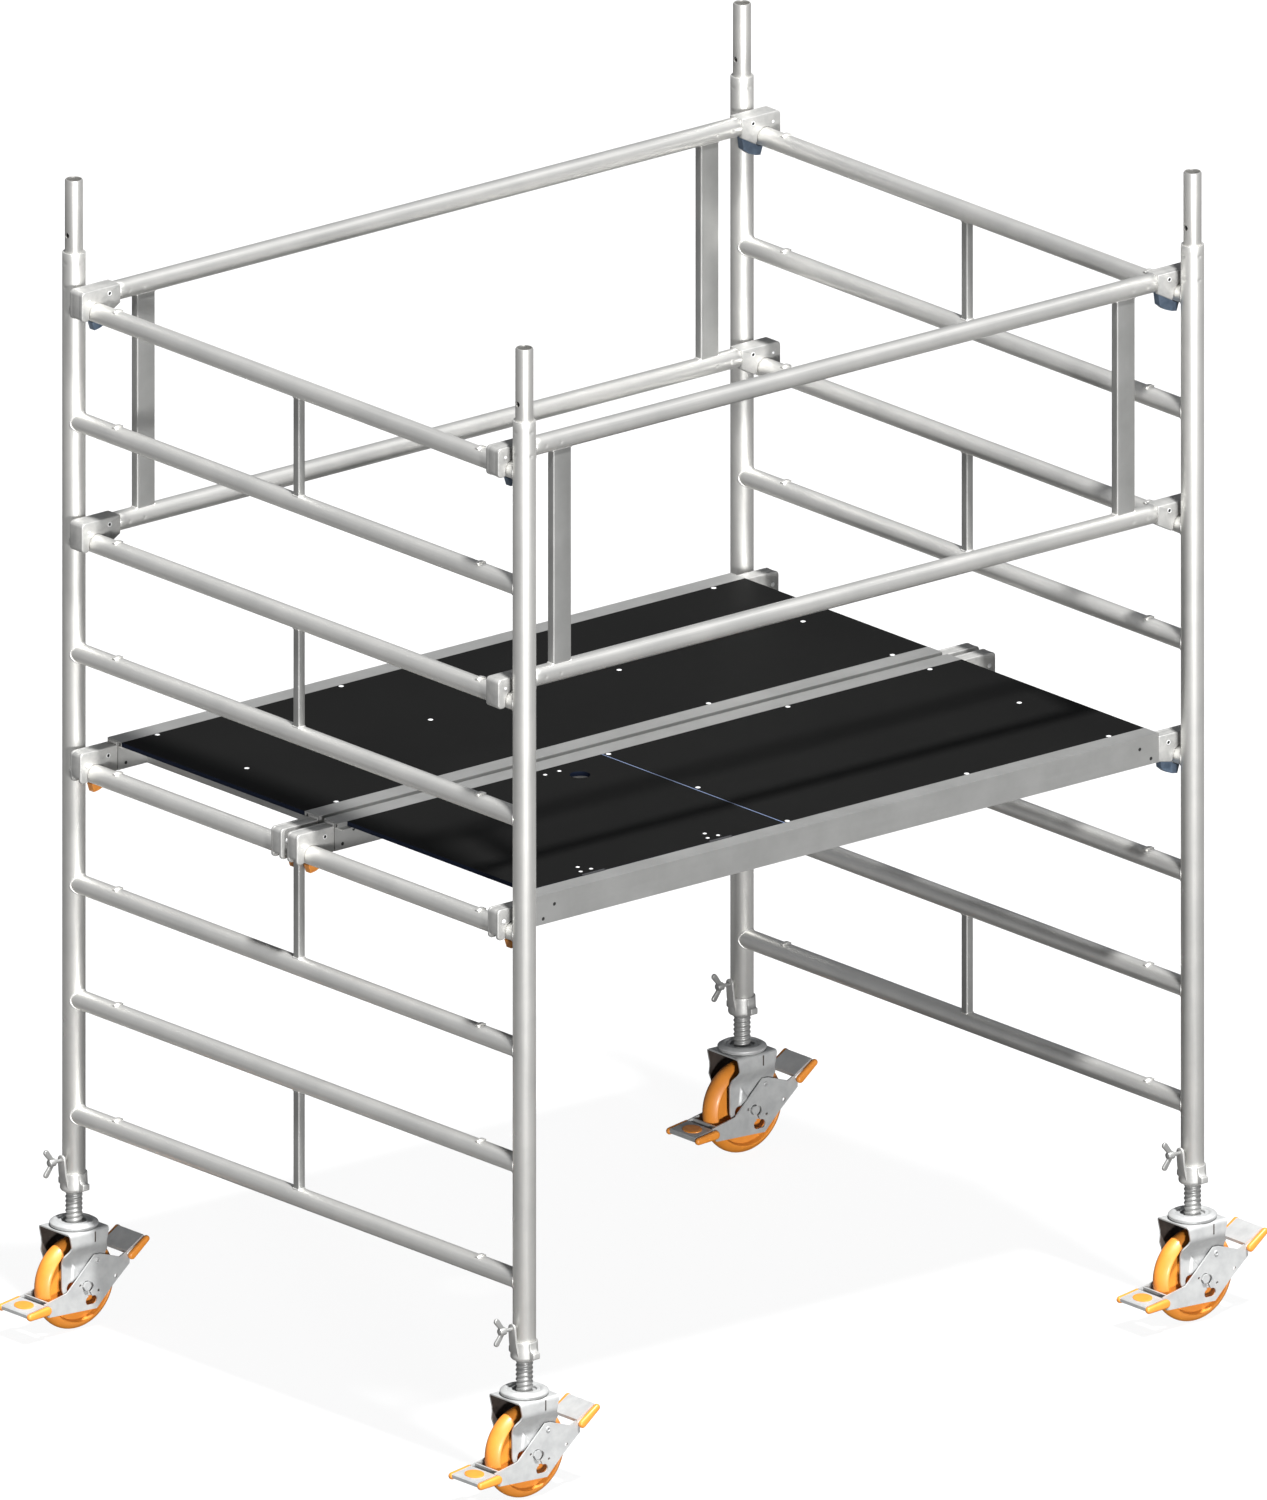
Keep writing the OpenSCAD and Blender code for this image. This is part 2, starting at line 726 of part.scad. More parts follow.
// Keyhole for the axle head: it lets the plate rock about its own pivot
module axle_slot() {
    translate([0, 0]) circle(r = 11);
    translate([9, -4.5]) circle(r = 11);
    polygon([[4.9, 9.9], [13.9, 5.4], [4.1, -14.4], [-4.9, -9.9]]);
    polygon([[-2, -8], [8, -8], [20, -34], [10, -34]]);
    for (x = [8, 20]) translate([x, -34]) circle(r = 9.5);
    translate([8, -43.5]) square([12, 19]);
}

// Orange foot pads: side caps on the pedal and on the release lever
module brake_pads() {
    cap_t = cap_out - plate_out;
    color(orange) translate([0, 0, axle_z]) {
        for (side = [-1, 1]) translate([0, side * (plate_out + cap_t / 2), 0]) {
            slab_y(cap_t) polygon(beside_wheel([[-163, -34], [-156, -26], [-109, -20], [-100, -25],
                [-100, -35], [-108, -41], [-156, -42]]));
            slab_y(cap_t) polygon(beside_wheel([[108, 38], [108, 52], [155, 79], [163, 76], [162, 68],
                [116, 35]]));
        }
        slab_y(50) polygon(beside_wheel([[-152, pedal_top(-152) + e], [-116, pedal_top(-116) + e],
            [-119, -19.5], [-134, -21], [-149, -24]]));
    }
}

module spindle_nut() {
    ear_x = 35;
    ear_top = nut_z + 82;
    color(cast) difference() {
        union() {
            cylinder_at(29, nut_z, nut_z + nut_base + collar_h);
            span_box([-9, -40.5, nut_z + 7], [9, 40.5, nut_z + 21]);
            span_box([-ear_x, -11, nut_z], [-24, 11, nut_z + nut_base + collar_h]);
            span_box([-ear_x, -11, nut_z], [-ear_x + 5, 11, wing_z]);
            translate([-ear_x + 2.5, 0, wing_z]) bar_x(11, 5);
        }
        cylinder_at(spindle_d / 2 + run_fit, nut_z - 1, nut_z + nut_base + 1);
        cylinder_at(post_d / 2 + seat_gap, nut_z + nut_base, ear_top);
        translate([-ear_x, 0, wing_z]) bar_x(4 + run_fit, 20);
    }
}

module wing_bolt() {
    tip = post_d / 2 + 0.4;
    color(zinc) translate([0, 0, wing_z]) {
        rotate([0, -90, 0]) {
            cylinder_at(4, tip, 56);
            cylinder_at(8.5, 50, 68);
        }
        for (side = [-1, 1]) {
            slab_y(5) polygon([[-54, side * 4], [-66, side * 4], [-80, side * 20], [-72, side * 27]]);
            translate([-75, 0, side * 24]) bar_y(6.5, 6);
        }
    }
}

module castor_at(c) {
    translate([c[1] * post_x, c[2] * post_y, 0]) children();
}

posts();
spigots();
rungs();
frame_struts();
guard_tubes();
guard_struts();
guard_claws();
deck_rails();
deck_transoms();
deck_claws();
deck_rivets();
far_deck_panel();
near_deck_panel();
hatch_hinge_fixed();
hatch_panel();
hatch_fittings();
for (i = [1:4]) {
    deck_catch(-1, deck_catch_ys[i - 1]);
    deck_catch(1, deck_catch_ys[i - 1]);
}
for (c = corners) {
    guard_catch(c);
    castor_at(c) spindle();
    castor_at(c) fork();
    castor_at(c) axle_bolt();
    castor_at(c) wheel();
    castor_at(c) brake_rocker();
    castor_at(c) brake_pads();
    castor_at(c) spindle_nut();
    castor_at(c) wing_bolt();
}
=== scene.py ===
import math
import bmesh
import bpy
import numpy as np
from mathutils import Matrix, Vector


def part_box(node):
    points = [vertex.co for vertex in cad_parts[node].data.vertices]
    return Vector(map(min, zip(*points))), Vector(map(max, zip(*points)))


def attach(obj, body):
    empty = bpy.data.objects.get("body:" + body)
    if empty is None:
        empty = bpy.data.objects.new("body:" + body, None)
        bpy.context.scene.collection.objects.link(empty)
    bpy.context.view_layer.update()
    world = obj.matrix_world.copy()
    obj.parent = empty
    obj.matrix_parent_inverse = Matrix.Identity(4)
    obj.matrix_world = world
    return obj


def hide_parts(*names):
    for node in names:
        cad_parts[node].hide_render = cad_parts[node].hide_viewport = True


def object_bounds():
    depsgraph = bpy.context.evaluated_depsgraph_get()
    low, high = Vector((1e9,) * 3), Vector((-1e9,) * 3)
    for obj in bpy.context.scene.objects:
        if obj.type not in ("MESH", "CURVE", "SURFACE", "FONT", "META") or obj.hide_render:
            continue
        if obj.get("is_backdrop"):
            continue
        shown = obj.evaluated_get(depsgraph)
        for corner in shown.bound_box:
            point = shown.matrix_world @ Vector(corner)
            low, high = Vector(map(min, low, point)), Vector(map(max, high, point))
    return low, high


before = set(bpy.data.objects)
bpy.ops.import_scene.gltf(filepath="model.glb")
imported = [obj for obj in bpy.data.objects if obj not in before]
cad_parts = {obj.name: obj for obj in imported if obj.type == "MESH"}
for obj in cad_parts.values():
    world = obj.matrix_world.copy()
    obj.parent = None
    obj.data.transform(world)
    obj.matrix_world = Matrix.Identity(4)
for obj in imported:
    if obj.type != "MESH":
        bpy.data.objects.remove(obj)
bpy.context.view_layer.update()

# ---- Studio ----
# A pale floor, through which legs that are screwed down below it still show, an even grey
# surround, a high key light and a low fill from the front, which draw bright bands on the tubes.
VIEW_AZIMUTH, VIEW_RISE = math.radians(-40), math.radians(18.32)
VIEW_HEIGHT = 3.082
VIEW_MIDDLE = Vector((0.0005, -0.0004, 1.2416))
FLOOR_HALF = 40.0

back = Vector((math.sin(VIEW_AZIMUTH) * math.cos(VIEW_RISE),
               -math.cos(VIEW_AZIMUTH) * math.cos(VIEW_RISE), math.sin(VIEW_RISE)))
camera = bpy.data.objects.new("camera", bpy.data.cameras.new("camera"))
bpy.context.scene.collection.objects.link(camera)
camera.data.type = "ORTHO"
camera.data.ortho_scale = VIEW_HEIGHT
camera.data.clip_end = 60
camera.location = VIEW_MIDDLE + back * 12
camera.rotation_mode = "QUATERNION"
camera.rotation_quaternion = (-back).to_track_quat("-Z", "Y")
bpy.context.scene.camera = camera
bpy.context.scene.view_settings.view_transform = "Standard"


def sun(name, source, energy, spread):
    """A distant light that shines from a direction, with its spread in degrees."""
    light = bpy.data.objects.new(name, bpy.data.lights.new(name, "SUN"))
    bpy.context.scene.collection.objects.link(light)
    light.data.energy, light.data.angle = energy, math.radians(spread)
    light.rotation_mode = "QUATERNION"
    light.rotation_quaternion = Vector(source).to_track_quat("Z", "Y")


sun("key_light", (-0.12, -0.42, 1.0), 7.6, 5)
sun("front_fill", (-0.42, -0.90, 0.05), 3.3, 6)

world = bpy.data.worlds.new("studio")
bpy.context.scene.world = world
world.use_nodes = True
sky = world.node_tree
surround = sky.nodes["Background"]
backdrop = sky.nodes.new("ShaderNodeMix")
backdrop.data_type = "RGBA"
backdrop.inputs["A"].default_value = (0.185, 0.19, 0.20, 1)
backdrop.inputs["B"].default_value = (1, 1, 1, 1)
sky.links.new(sky.nodes.new("ShaderNodeLightPath").outputs["Is Camera Ray"], backdrop.inputs["Factor"])
sky.links.new(backdrop.outputs["Result"], surround.inputs["Color"])


def new_material(name):
    """An empty material with its shader, and the node tree that they live in."""
    material = bpy.data.materials.new(name)
    material.use_nodes = True
    return material, material.node_tree, material.node_tree.nodes["Principled BSDF"]


floor_mesh = bpy.data.meshes.new("floor")
floor_mesh.from_pydata([(x * FLOOR_HALF, y * FLOOR_HALF, 0) for x, y in ((-1, -1), (1, -1), (1, 1), (-1, 1))],
                       [], [(0, 1, 2, 3)])
floor = bpy.data.objects.new("floor", floor_mesh)
bpy.context.scene.collection.objects.link(floor)
paper, tree, shader = new_material("floor_paper")
shader.inputs["Base Color"].default_value = (0.085, 0.085, 0.085, 1)
shader.inputs["Roughness"].default_value = 0.9
seen = tree.nodes.new("ShaderNodeLightPath")
clear = tree.nodes.new("ShaderNodeBsdfTransparent")
clear.inputs["Color"].default_value = (0.93, 0.93, 0.93, 1)
lift = tree.nodes.new("ShaderNodeAddShader")
open_air = tree.nodes.new("ShaderNodeBsdfTransparent")
to_camera, to_light = tree.nodes.new("ShaderNodeMixShader"), tree.nodes.new("ShaderNodeMixShader")
for first, second in (
        (shader.outputs[0], lift.inputs[0]), (clear.outputs[0], lift.inputs[1]),
        (seen.outputs["Is Camera Ray"], to_camera.inputs[0]), (shader.outputs[0], to_camera.inputs[1]),
        (lift.outputs[0], to_camera.inputs[2]), (seen.outputs["Is Shadow Ray"], to_light.inputs[0]),
        (to_camera.outputs[0], to_light.inputs[1]), (open_air.outputs[0], to_light.inputs[2]),
        (to_light.outputs[0], tree.nodes["Material Output"].inputs["Surface"])):
    tree.links.new(first, second)
floor_mesh.materials.append(paper)
floor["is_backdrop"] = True

# ---- Posts ----
# Four drawn aluminium tubes, 48.3 mm across. Each is punched with rows of round dimples
# near its head, which lock the spigot inside it.
POST_R, POST_BORE = 24.15, 19.35
DIMPLE_DEPTH, DIMPLE_WIDTH = 1.5, 4.2
DIMPLE_ROWS = (22.0, 73.0)


def box_mm(node):
    """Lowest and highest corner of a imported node, in millimetres."""
    low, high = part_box(node)
    return np.array(low) * 1000, np.array(high) * 1000


def grid(points, wrap_rows=False, wrap_cols=True):
    """A patch from rows of points: one quad between each four neighbours, closed round where asked."""
    rows, cols = points.shape[:2]
    r = np.arange(rows if wrap_rows else rows - 1)[:, None]
    c = np.arange(cols if wrap_cols else cols - 1)[None, :]
    r2, c2 = (r + 1) % rows, (c + 1) % cols
    quads = np.stack([r * cols + c, r * cols + c2, r2 * cols + c2, r2 * cols + c], -1)
    return points.reshape(-1, 3), quads.reshape(-1, 4).tolist()


def piece(name, patches, material, body, stands_for=(), sharp=35):
    """One object from patches in millimetres, riding on a body. Doubles are merged, faces turned
    outwards, and edges sharper than the angle stay sharp."""
    points, faces, first = [], [], 0
    for patch_points, patch_faces in patches:
        points.append(patch_points)
        faces.extend([[i + first for i in face] for face in patch_faces])
        first += len(patch_points)
    mesh = bpy.data.meshes.new(name)
    mesh.from_pydata((np.concatenate(points) * 0.001).tolist(), [], faces)
    return settle(name, mesh, material, body, stands_for, sharp)


def settle(name, mesh, material, body, stands_for, sharp):
    """Cleans a mesh, smooths its round faces and makes it ride on its body."""
    work = bmesh.new()
    work.from_mesh(mesh)
    bmesh.ops.remove_doubles(work, verts=work.verts, dist=2e-6)
    bmesh.ops.dissolve_degenerate(work, edges=work.edges, dist=1e-6)
    bmesh.ops.recalc_face_normals(work, faces=work.faces)
    work.to_mesh(mesh)
    work.free()
    mesh.polygons.foreach_set("use_smooth", np.ones(len(mesh.polygons), bool))
    mesh.set_sharp_from_angle(angle=math.radians(sharp))
    mesh.materials.append(material)
    thing = bpy.data.objects.new(name, mesh)
    bpy.context.scene.collection.objects.link(thing)
    if stands_for:
        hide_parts(*stands_for)
    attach(thing, body)
    return thing


def basis(direction):
    """Two unit vectors across a direction: for an upright one they are +X and +Y."""
    along = np.array(direction, float) / np.linalg.norm(direction)
    first = np.array([1.0, 0, 0]) if abs(along[0]) < 0.5 else np.array([0, 1.0, 0])
    return along, first, np.cross(along, first)


def tube(start, end, outer, inner, spots=(), around=64, rim=0.8):
    """A hollow tube from start to end. Rings run out along the outside and back along the bore.
    At a spot (distance, degrees) the outside sinks by a bell curve of the distance from it."""
    start, end = np.array(start, float), np.array(end, float)
    along, across, up = basis(end - start)
    length = np.linalg.norm(end - start)
    stations = [0.0, rim, length - rim, length]
    for spot, degrees in spots:
        stations.extend(np.linspace(spot - 9, spot + 9, 15))
    s = np.unique(np.round(stations, 3))
    turn = np.linspace(0, 2 * np.pi, around, endpoint=False)
    radius = np.full((len(s), around), outer, float)
    radius[[0, -1]] -= rim * 0.6
    for spot, degrees in spots:
        gap = (turn - math.radians(degrees) + np.pi) % (2 * np.pi) - np.pi
        away = (s[:, None] - spot) ** 2 + (outer * gap[None, :]) ** 2
        radius -= DIMPLE_DEPTH * np.exp(-away / DIMPLE_WIDTH ** 2 * 1.4)
    s = np.concatenate([s, [length, 0.0]])
    radius = np.concatenate([radius, np.full((2, around), inner, float)])
    ring = np.cos(turn)[:, None] * across + np.sin(turn)[:, None] * up
    return grid(start + s[:, None, None] * along + radius[..., None] * ring, wrap_rows=True)


def socket(tree, group_input, kind, name, value=None):
    """Adds a named input or output to a node group."""
    made = tree.interface.new_socket(name=name, in_out=group_input, socket_type=kind)
    if value is not None:
        made.default_value = value


def make_streaks():
    """Fine lines along one direction, over soft handling marks: noise stretched by a scale for
    each axis, and plain noise. Gives a line mask and a mark mask, from 0 to 1."""
    tree = bpy.data.node_groups.new("metal_streaks", "ShaderNodeTree")
    socket(tree, "INPUT", "NodeSocketVector", "Scale by axis", (1, 1, 1))
    socket(tree, "INPUT", "NodeSocketFloat", "Mark scale", 9)
    socket(tree, "OUTPUT", "NodeSocketFloat", "Lines")
    socket(tree, "OUTPUT", "NodeSocketFloat", "Marks")
    add = tree.nodes.new
    into, out = add("NodeGroupInput"), add("NodeGroupOutput")
    place, scaled = add("ShaderNodeTexCoord"), add("ShaderNodeVectorMath")
    scaled.operation = "MULTIPLY"
    lines, marks = add("ShaderNodeTexNoise"), add("ShaderNodeTexNoise")
    lines.inputs["Scale"].default_value = 1
    lines.inputs["Detail"].default_value = 3
    marks.inputs["Detail"].default_value = 5
    marks.inputs["Roughness"].default_value = 0.6
    join = tree.links.new
    join(place.outputs["Object"], scaled.inputs[0])
    join(into.outputs["Scale by axis"], scaled.inputs[1])
    join(scaled.outputs[0], lines.inputs["Vector"])
    join(place.outputs["Object"], marks.inputs["Vector"])
    join(into.outputs["Mark scale"], marks.inputs["Scale"])
    join(lines.outputs["Fac"], out.inputs["Lines"])
    join(marks.outputs["Fac"], out.inputs["Marks"])
    return tree


STREAKS = make_streaks()


def surface(name, dark, light, rough, metal, scale, mark_scale=9.0, bump=0.03, coat=0.0, spread=(0.35, 0.65)):
    """A material whose colour and gloss vary between two values: lines drive the bump and part of
    the roughness, and marks drive the colour."""
    material, tree, shader = new_material(name)
    shader.inputs["Metallic"].default_value = metal
    shader.inputs["Coat Weight"].default_value = coat
    shader.inputs["Coat Roughness"].default_value = 0.2
    streaks = tree.nodes.new("ShaderNodeGroup")
    streaks.node_tree = STREAKS
    streaks.inputs["Scale by axis"].default_value = scale
    streaks.inputs["Mark scale"].default_value = mark_scale
    tint = tree.nodes.new("ShaderNodeMix")
    tint.data_type = "RGBA"
    tint.inputs["A"].default_value = (*dark, 1)
    tint.inputs["B"].default_value = (*light, 1)
    share = tree.nodes.new("ShaderNodeMapRange")
    share.inputs["From Min"].default_value, share.inputs["From Max"].default_value = spread
    gloss = tree.nodes.new("ShaderNodeMapRange")
    gloss.inputs["From Min"].default_value, gloss.inputs["From Max"].default_value = 0.25, 0.75
    gloss.inputs["To Min"].default_value, gloss.inputs["To Max"].default_value = rough
    relief = tree.nodes.new("ShaderNodeBump")
    relief.inputs["Strength"].default_value = bump
    relief.inputs["Distance"].default_value = 0.0005
    join = tree.links.new
    join(streaks.outputs["Marks"], share.inputs["Value"])
    join(share.outputs["Result"], tint.inputs["Factor"])
    join(tint.outputs["Result"], shader.inputs["Base Color"])
    join(streaks.outputs["Lines"], gloss.inputs["Value"])
    join(gloss.outputs["Result"], shader.inputs["Roughness"])
    join(streaks.outputs["Lines"], relief.inputs["Height"])
    join(relief.outputs["Normal"], shader.inputs["Normal"])
    return material


def drawn_alloy(name, axis):
    """Mill-finish aluminium with drawing lines along one axis: 0 is X, 1 is Y and 2 is Z. The long
    guardrail tubes, along X, are drawn smoother."""
    scale = [1400.0] * 3
    scale[axis] = 6.0
    gloss = (0.42, 0.52) if axis else (0.33, 0.43)
    return surface(name, (0.78, 0.775, 0.75), (0.86, 0.85, 0.82), gloss, 0.88, scale)


alloy_upright = drawn_alloy("drawn_alloy_upright", 2)
post_low, post_high = box_mm("posts")
POST_X, POST_Y = post_high[0] - POST_R, post_high[1] - POST_R
FOOT, HEAD = post_low[2], post_high[2]
CORNERS = {"a": (-1, -1), "b": (1, -1), "c": (-1, 1), "d": (1, 1)}
post_dimples = [(HEAD - FOOT - row, degrees) for row in DIMPLE_ROWS for degrees in (0, 90, 180, 270)]
piece("post_tubes",
      [tube((i * POST_X, j * POST_Y, FOOT), (i * POST_X, j * POST_Y, HEAD), POST_R, POST_BORE, post_dimples)
       for i, j in CORNERS.values()],
      alloy_upright, "frame", ["posts"])

# ---- Rungs ----
# Sixteen 41 mm aluminium tubes, coped to the posts. Near each end a saddle-shaped stop
# is welded over the crown, so that a hook can't slide off along the rung.
RUNG_R, RUNG_BORE = 20.5, 18.0
RUNG_COUNT = 8
STOP_Y, STOP_LONG, STOP_THICK = 580.0, 10.0, 3.5
rung_low, rung_high = box_mm("rungs")
RUNG_STEP = (rung_high[2] - STOP_THICK - RUNG_R - rung_low[2] - RUNG_R) / (RUNG_COUNT - 1)


def rung_height(k):
    """Height of a rung's axis, counted from the lowest."""
    return rung_low[2] + RUNG_R + k * RUNG_STEP


def coped(x, z, around=64):
    """A hollow rung whose ends follow the posts: its length shrinks with the square root that gives
    the post's round face."""
    turn = np.linspace(0, 2 * np.pi, around, endpoint=False)
    rows = []
    for radius, side in ((RUNG_R, -1), (RUNG_R, 0), (RUNG_R, 1), (RUNG_BORE, 1), (RUNG_BORE, -1)):
        across = radius * np.cos(turn)
        reach = POST_Y - np.sqrt(POST_R ** 2 - across ** 2)
        rows.append(np.stack([x + across, side * reach, z + radius * np.sin(turn)], -1))
    return grid(np.array(rows), wrap_rows=True)


def arc(x, y, radius, first, last, count=10):
    """Points on an arc, from one angle to another in degrees."""
    turn = np.radians(np.linspace(first, last, count))
    return np.stack([x + radius * np.cos(turn), y + radius * np.sin(turn)], -1)


def slab(outline, thickness, edge=1.0, steps=3):
    """A plate with rounded edges: the outline is carried across the thickness and drawn in along its
    normals by a quarter circle at both faces. Gives points as (outline x, outline y, across)."""
    outline = np.asarray(outline, float)
    keep = np.linalg.norm(outline - np.roll(outline, 1, 0), axis=1) > 1e-4
    outline = outline[keep]
    before = outline - np.roll(outline, 1, 0)
    after = np.roll(outline, -1, 0) - outline
    normals = []
    for step in (before, after):
        step = step / np.linalg.norm(step, axis=1, keepdims=True)
        normals.append(np.stack([step[:, 1], -step[:, 0]], -1))
    area = np.sum(outline[:, 0] * np.roll(outline[:, 1], -1) - outline[:, 1] * np.roll(outline[:, 0], -1))
    middle = (normals[0] + normals[1]) * (0.5 if area > 0 else -0.5)
    middle /= np.maximum(np.sum(middle ** 2, axis=1, keepdims=True), 0.5)
    turn = np.linspace(0, np.pi / 2, steps + 1)
    inset = edge * (1 - np.sin(turn))
    level = -thickness / 2 + edge * (1 - np.cos(turn))
    inset, level = np.concatenate([inset, inset[::-1]]), np.concatenate([level, -level[::-1]])
    ring = outline[None] - inset[:, None, None] * middle[None]
    points = np.concatenate([ring, np.broadcast_to(level[:, None, None], (*ring.shape[:2], 1))], -1)
    flat, faces = grid(points)
    count = len(outline)
    last = (len(inset) - 1) * count
    faces.append(list(range(count))[::-1])
    faces.append(list(range(last, last + count)))
    return flat, faces


def place(patch, order, origin=(0, 0, 0), flip=(1, 1, 1)):
    """Moves a patch: order names which of its columns go to X, Y and Z, flip turns them about, and
    origin is added."""
    points, faces = patch
    return points[:, list(order)] * np.array(flip, float) + np.array(origin, float), faces


alloy_rung = drawn_alloy("drawn_alloy_rung", 1)
stop_outline = np.concatenate([arc(0, 0, RUNG_R + STOP_THICK, 60, 120, 12),
                               arc(0, 0, RUNG_R - 0.6, 122, 58, 12)])
stop = slab(stop_outline, STOP_LONG, 1.2)
rung_patches = []
for i in (-1, 1):
    for k in range(RUNG_COUNT):
        rung_patches.append(coped(i * POST_X, rung_height(k)))
        for j in (-1, 1):
            rung_patches.append(place(stop, (0, 2, 1), (i * POST_X, j * STOP_Y, rung_height(k))))
piece("rung_tubes", rung_patches, alloy_rung, "frame", ["rungs"])

# ---- Short uprights ----
# Square aluminium tubes, coped between pairs of rungs at the middle of each end frame, which
# stiffen the wide rungs.
UPRIGHT, UPRIGHT_WALL, UPRIGHT_ROUND = 18.0, 2.0, 2.5


def round_rect(width, depth, radius, steps=5):
    """A rectangle with rounded corners, as points in turn round its middle."""
    x, y = width / 2 - radius, depth / 2 - radius
    return np.concatenate([arc(x, y, radius, 0, 90, steps), arc(-x, y, radius, 90, 180, steps),
                           arc(-x, -y, radius, 180, 270, steps), arc(x, -y, radius, 270, 360, steps)])


def coped_post(x, y, low, high, width, depth, wall, corner, across_x):
    """A rectangular tube between two round tubes: each end's height follows the square root of the
    round tube's section, across X or across Y."""
    rows = []
    for shrink, top in ((0, False), (0, True), (wall, True), (wall, False)):
        ring = round_rect(width - 2 * shrink, depth - 2 * shrink, max(corner - shrink, 0.4))
        lift = np.sqrt(RUNG_R ** 2 - ring[:, 0 if across_x else 1] ** 2)
        level = high - lift if top else low + lift
        rows.append(np.column_stack([x + ring[:, 0], y + ring[:, 1], level]))
    return grid(np.array(rows), wrap_rows=True)


extruded_upright = surface("extruded_upright", (0.38, 0.38, 0.37), (0.44, 0.44, 0.43), (0.46, 0.58), 0.88,
                           (1600, 1600, 5))
upright_places = [(i * POST_X, k) for i in (-1, 1) for k in (0, 2, 4, 6)]
piece("short_uprights",
      [coped_post(x, 0, rung_height(k), rung_height(k + 1), UPRIGHT, UPRIGHT, UPRIGHT_WALL,
                  UPRIGHT_ROUND, True) for x, k in upright_places],
      extruded_upright, "frame", ["frame_struts"])

# ---- Guardrail frames ----
# Each side has two 41 mm tubes joined by two flat upright tubes. Dimples near the tubes' ends
# hold the plugs of the cast claws.
GUARD_DIMPLES = (25.0, 65.0)
GUARD_RUNGS = (5, 7)
GUARD_POST_W, GUARD_POST_T, GUARD_POST_WALL, GUARD_POST_ROUND = 48.0, 20.0, 2.0, 3.0
guard_low, guard_high = box_mm("guard_tubes")
GUARD_Y, GUARD_END = guard_high[1] - RUNG_R, guard_high[0]
GUARD_RISE = guard_low[2] + RUNG_R - rung_height(GUARD_RUNGS[0])
GUARD_POST_X = box_mm("guard_struts")[1][0] - GUARD_POST_W / 2
guard_levels = [rung_height(k) + GUARD_RISE for k in GUARD_RUNGS]
alloy_rail = drawn_alloy("drawn_alloy_rail", 0)
guard_dimples = [(place_at, degrees) for degrees in (0, 180)
                 for near in GUARD_DIMPLES for place_at in (near, 2 * GUARD_END - near)]
piece("guardrail_tubes",
      [tube((-GUARD_END, j * GUARD_Y, z), (GUARD_END, j * GUARD_Y, z), RUNG_R, RUNG_BORE, guard_dimples)
       for j in (-1, 1) for z in guard_levels],
      alloy_rail, "frame", ["guard_tubes"])
piece("guardrail_uprights",
      [coped_post(i * GUARD_POST_X, j * GUARD_Y, *guard_levels, GUARD_POST_W, GUARD_POST_T, GUARD_POST_WALL,
                  GUARD_POST_ROUND, False) for i in (-1, 1) for j in (-1, 1)],
      extruded_upright, "frame", ["guard_struts"])

# ---- Welds ----
# A rippled bead runs round every joint between a rung and a post, and round the ends of the
# short uprights and of the guardrail uprights.
BEAD_R = 2.1


def bead(path, out, ripples):
    """A closed bead along a path: a small circle carried round it, swelling and shrinking as the
    weld pool did. out is the direction from the joint at each point."""
    count = len(path)
    tangent = np.roll(path, -1, 0) - np.roll(path, 1, 0)
    tangent /= np.linalg.norm(tangent, axis=1, keepdims=True)
    side = np.cross(tangent, out)
    swell = BEAD_R * (1 + 0.16 * np.abs(np.sin(np.arange(count) * np.pi * ripples / count)))
    turn = np.linspace(0, 2 * np.pi, 8, endpoint=False)
    circle = np.cos(turn)[None, :, None] * out[:, None] + np.sin(turn)[None, :, None] * side[:, None]
    return grid(path[:, None] + swell[:, None, None] * circle, wrap_rows=True)


turn = np.linspace(0, 2 * np.pi, 96, endpoint=False)
ring_out = np.stack([np.cos(turn), np.zeros(96), np.sin(turn)], -1)
beads = []
for i in (-1, 1):
    for k in range(RUNG_COUNT):
        for j in (-1, 1):
            reach = POST_Y - np.sqrt(POST_R ** 2 - (RUNG_R * np.cos(turn)) ** 2)
            path = np.stack([i * POST_X + RUNG_R * np.cos(turn), j * reach,
                             rung_height(k) + RUNG_R * np.sin(turn)], -1)
            beads.append(bead(path, ring_out, 26))


def foot_bead(x, y, level, up, width, depth, across_x):
    """A bead round the end of an upright, on the round tube that it stands on or hangs from."""
    ring = round_rect(width, depth, 3, 8)
    lift = np.sqrt(RUNG_R ** 2 - ring[:, 0 if across_x else 1] ** 2)
    path = np.column_stack([x + ring[:, 0], y + ring[:, 1], level + up * lift])
    out = np.column_stack([ring, np.zeros(len(ring))])
    return bead(path, out / np.linalg.norm(out, axis=1, keepdims=True), 18)


for x, k in upright_places:
    for step, up in ((0, 1), (1, -1)):
        beads.append(foot_bead(x, 0, rung_height(k + step), up, UPRIGHT, UPRIGHT, True))
for i in (-1, 1):
    for j in (-1, 1):
        for level, up in zip(guard_levels, (1, -1)):
            beads.append(foot_bead(i * GUARD_POST_X, j * GUARD_Y, level, up, GUARD_POST_W,
                                   GUARD_POST_T, False))
weld_metal = surface("weld_metal", (0.56, 0.555, 0.54), (0.70, 0.69, 0.67), (0.40, 0.55), 0.55,
                     (400, 400, 400), bump=0.06)
piece("weld_beads", beads, weld_metal, "frame", sharp=60)

# ---- Spigots ----
# Turned aluminium tubes that plug the posts' heads and carry the next frame. A 12 mm hole low
# on each takes the locking clip.


def from_cad(name, node, material, body, sharp=30):
    """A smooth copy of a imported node's own shape: its points and faces are taken afresh, its loose
    triangles are merged, and only edges sharper than the angle stay sharp."""
    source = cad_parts[node].data
    points = np.empty(len(source.vertices) * 3)
    source.vertices.foreach_get("co", points)
    corners = np.empty(len(source.loops), int)
    source.loops.foreach_get("vertex_index", corners)
    mesh = bpy.data.meshes.new(name)
    mesh.from_pydata(points.reshape(-1, 3).tolist(), [], corners.reshape(-1, 3).tolist())
    return settle(name, mesh, material, body, [node], sharp)


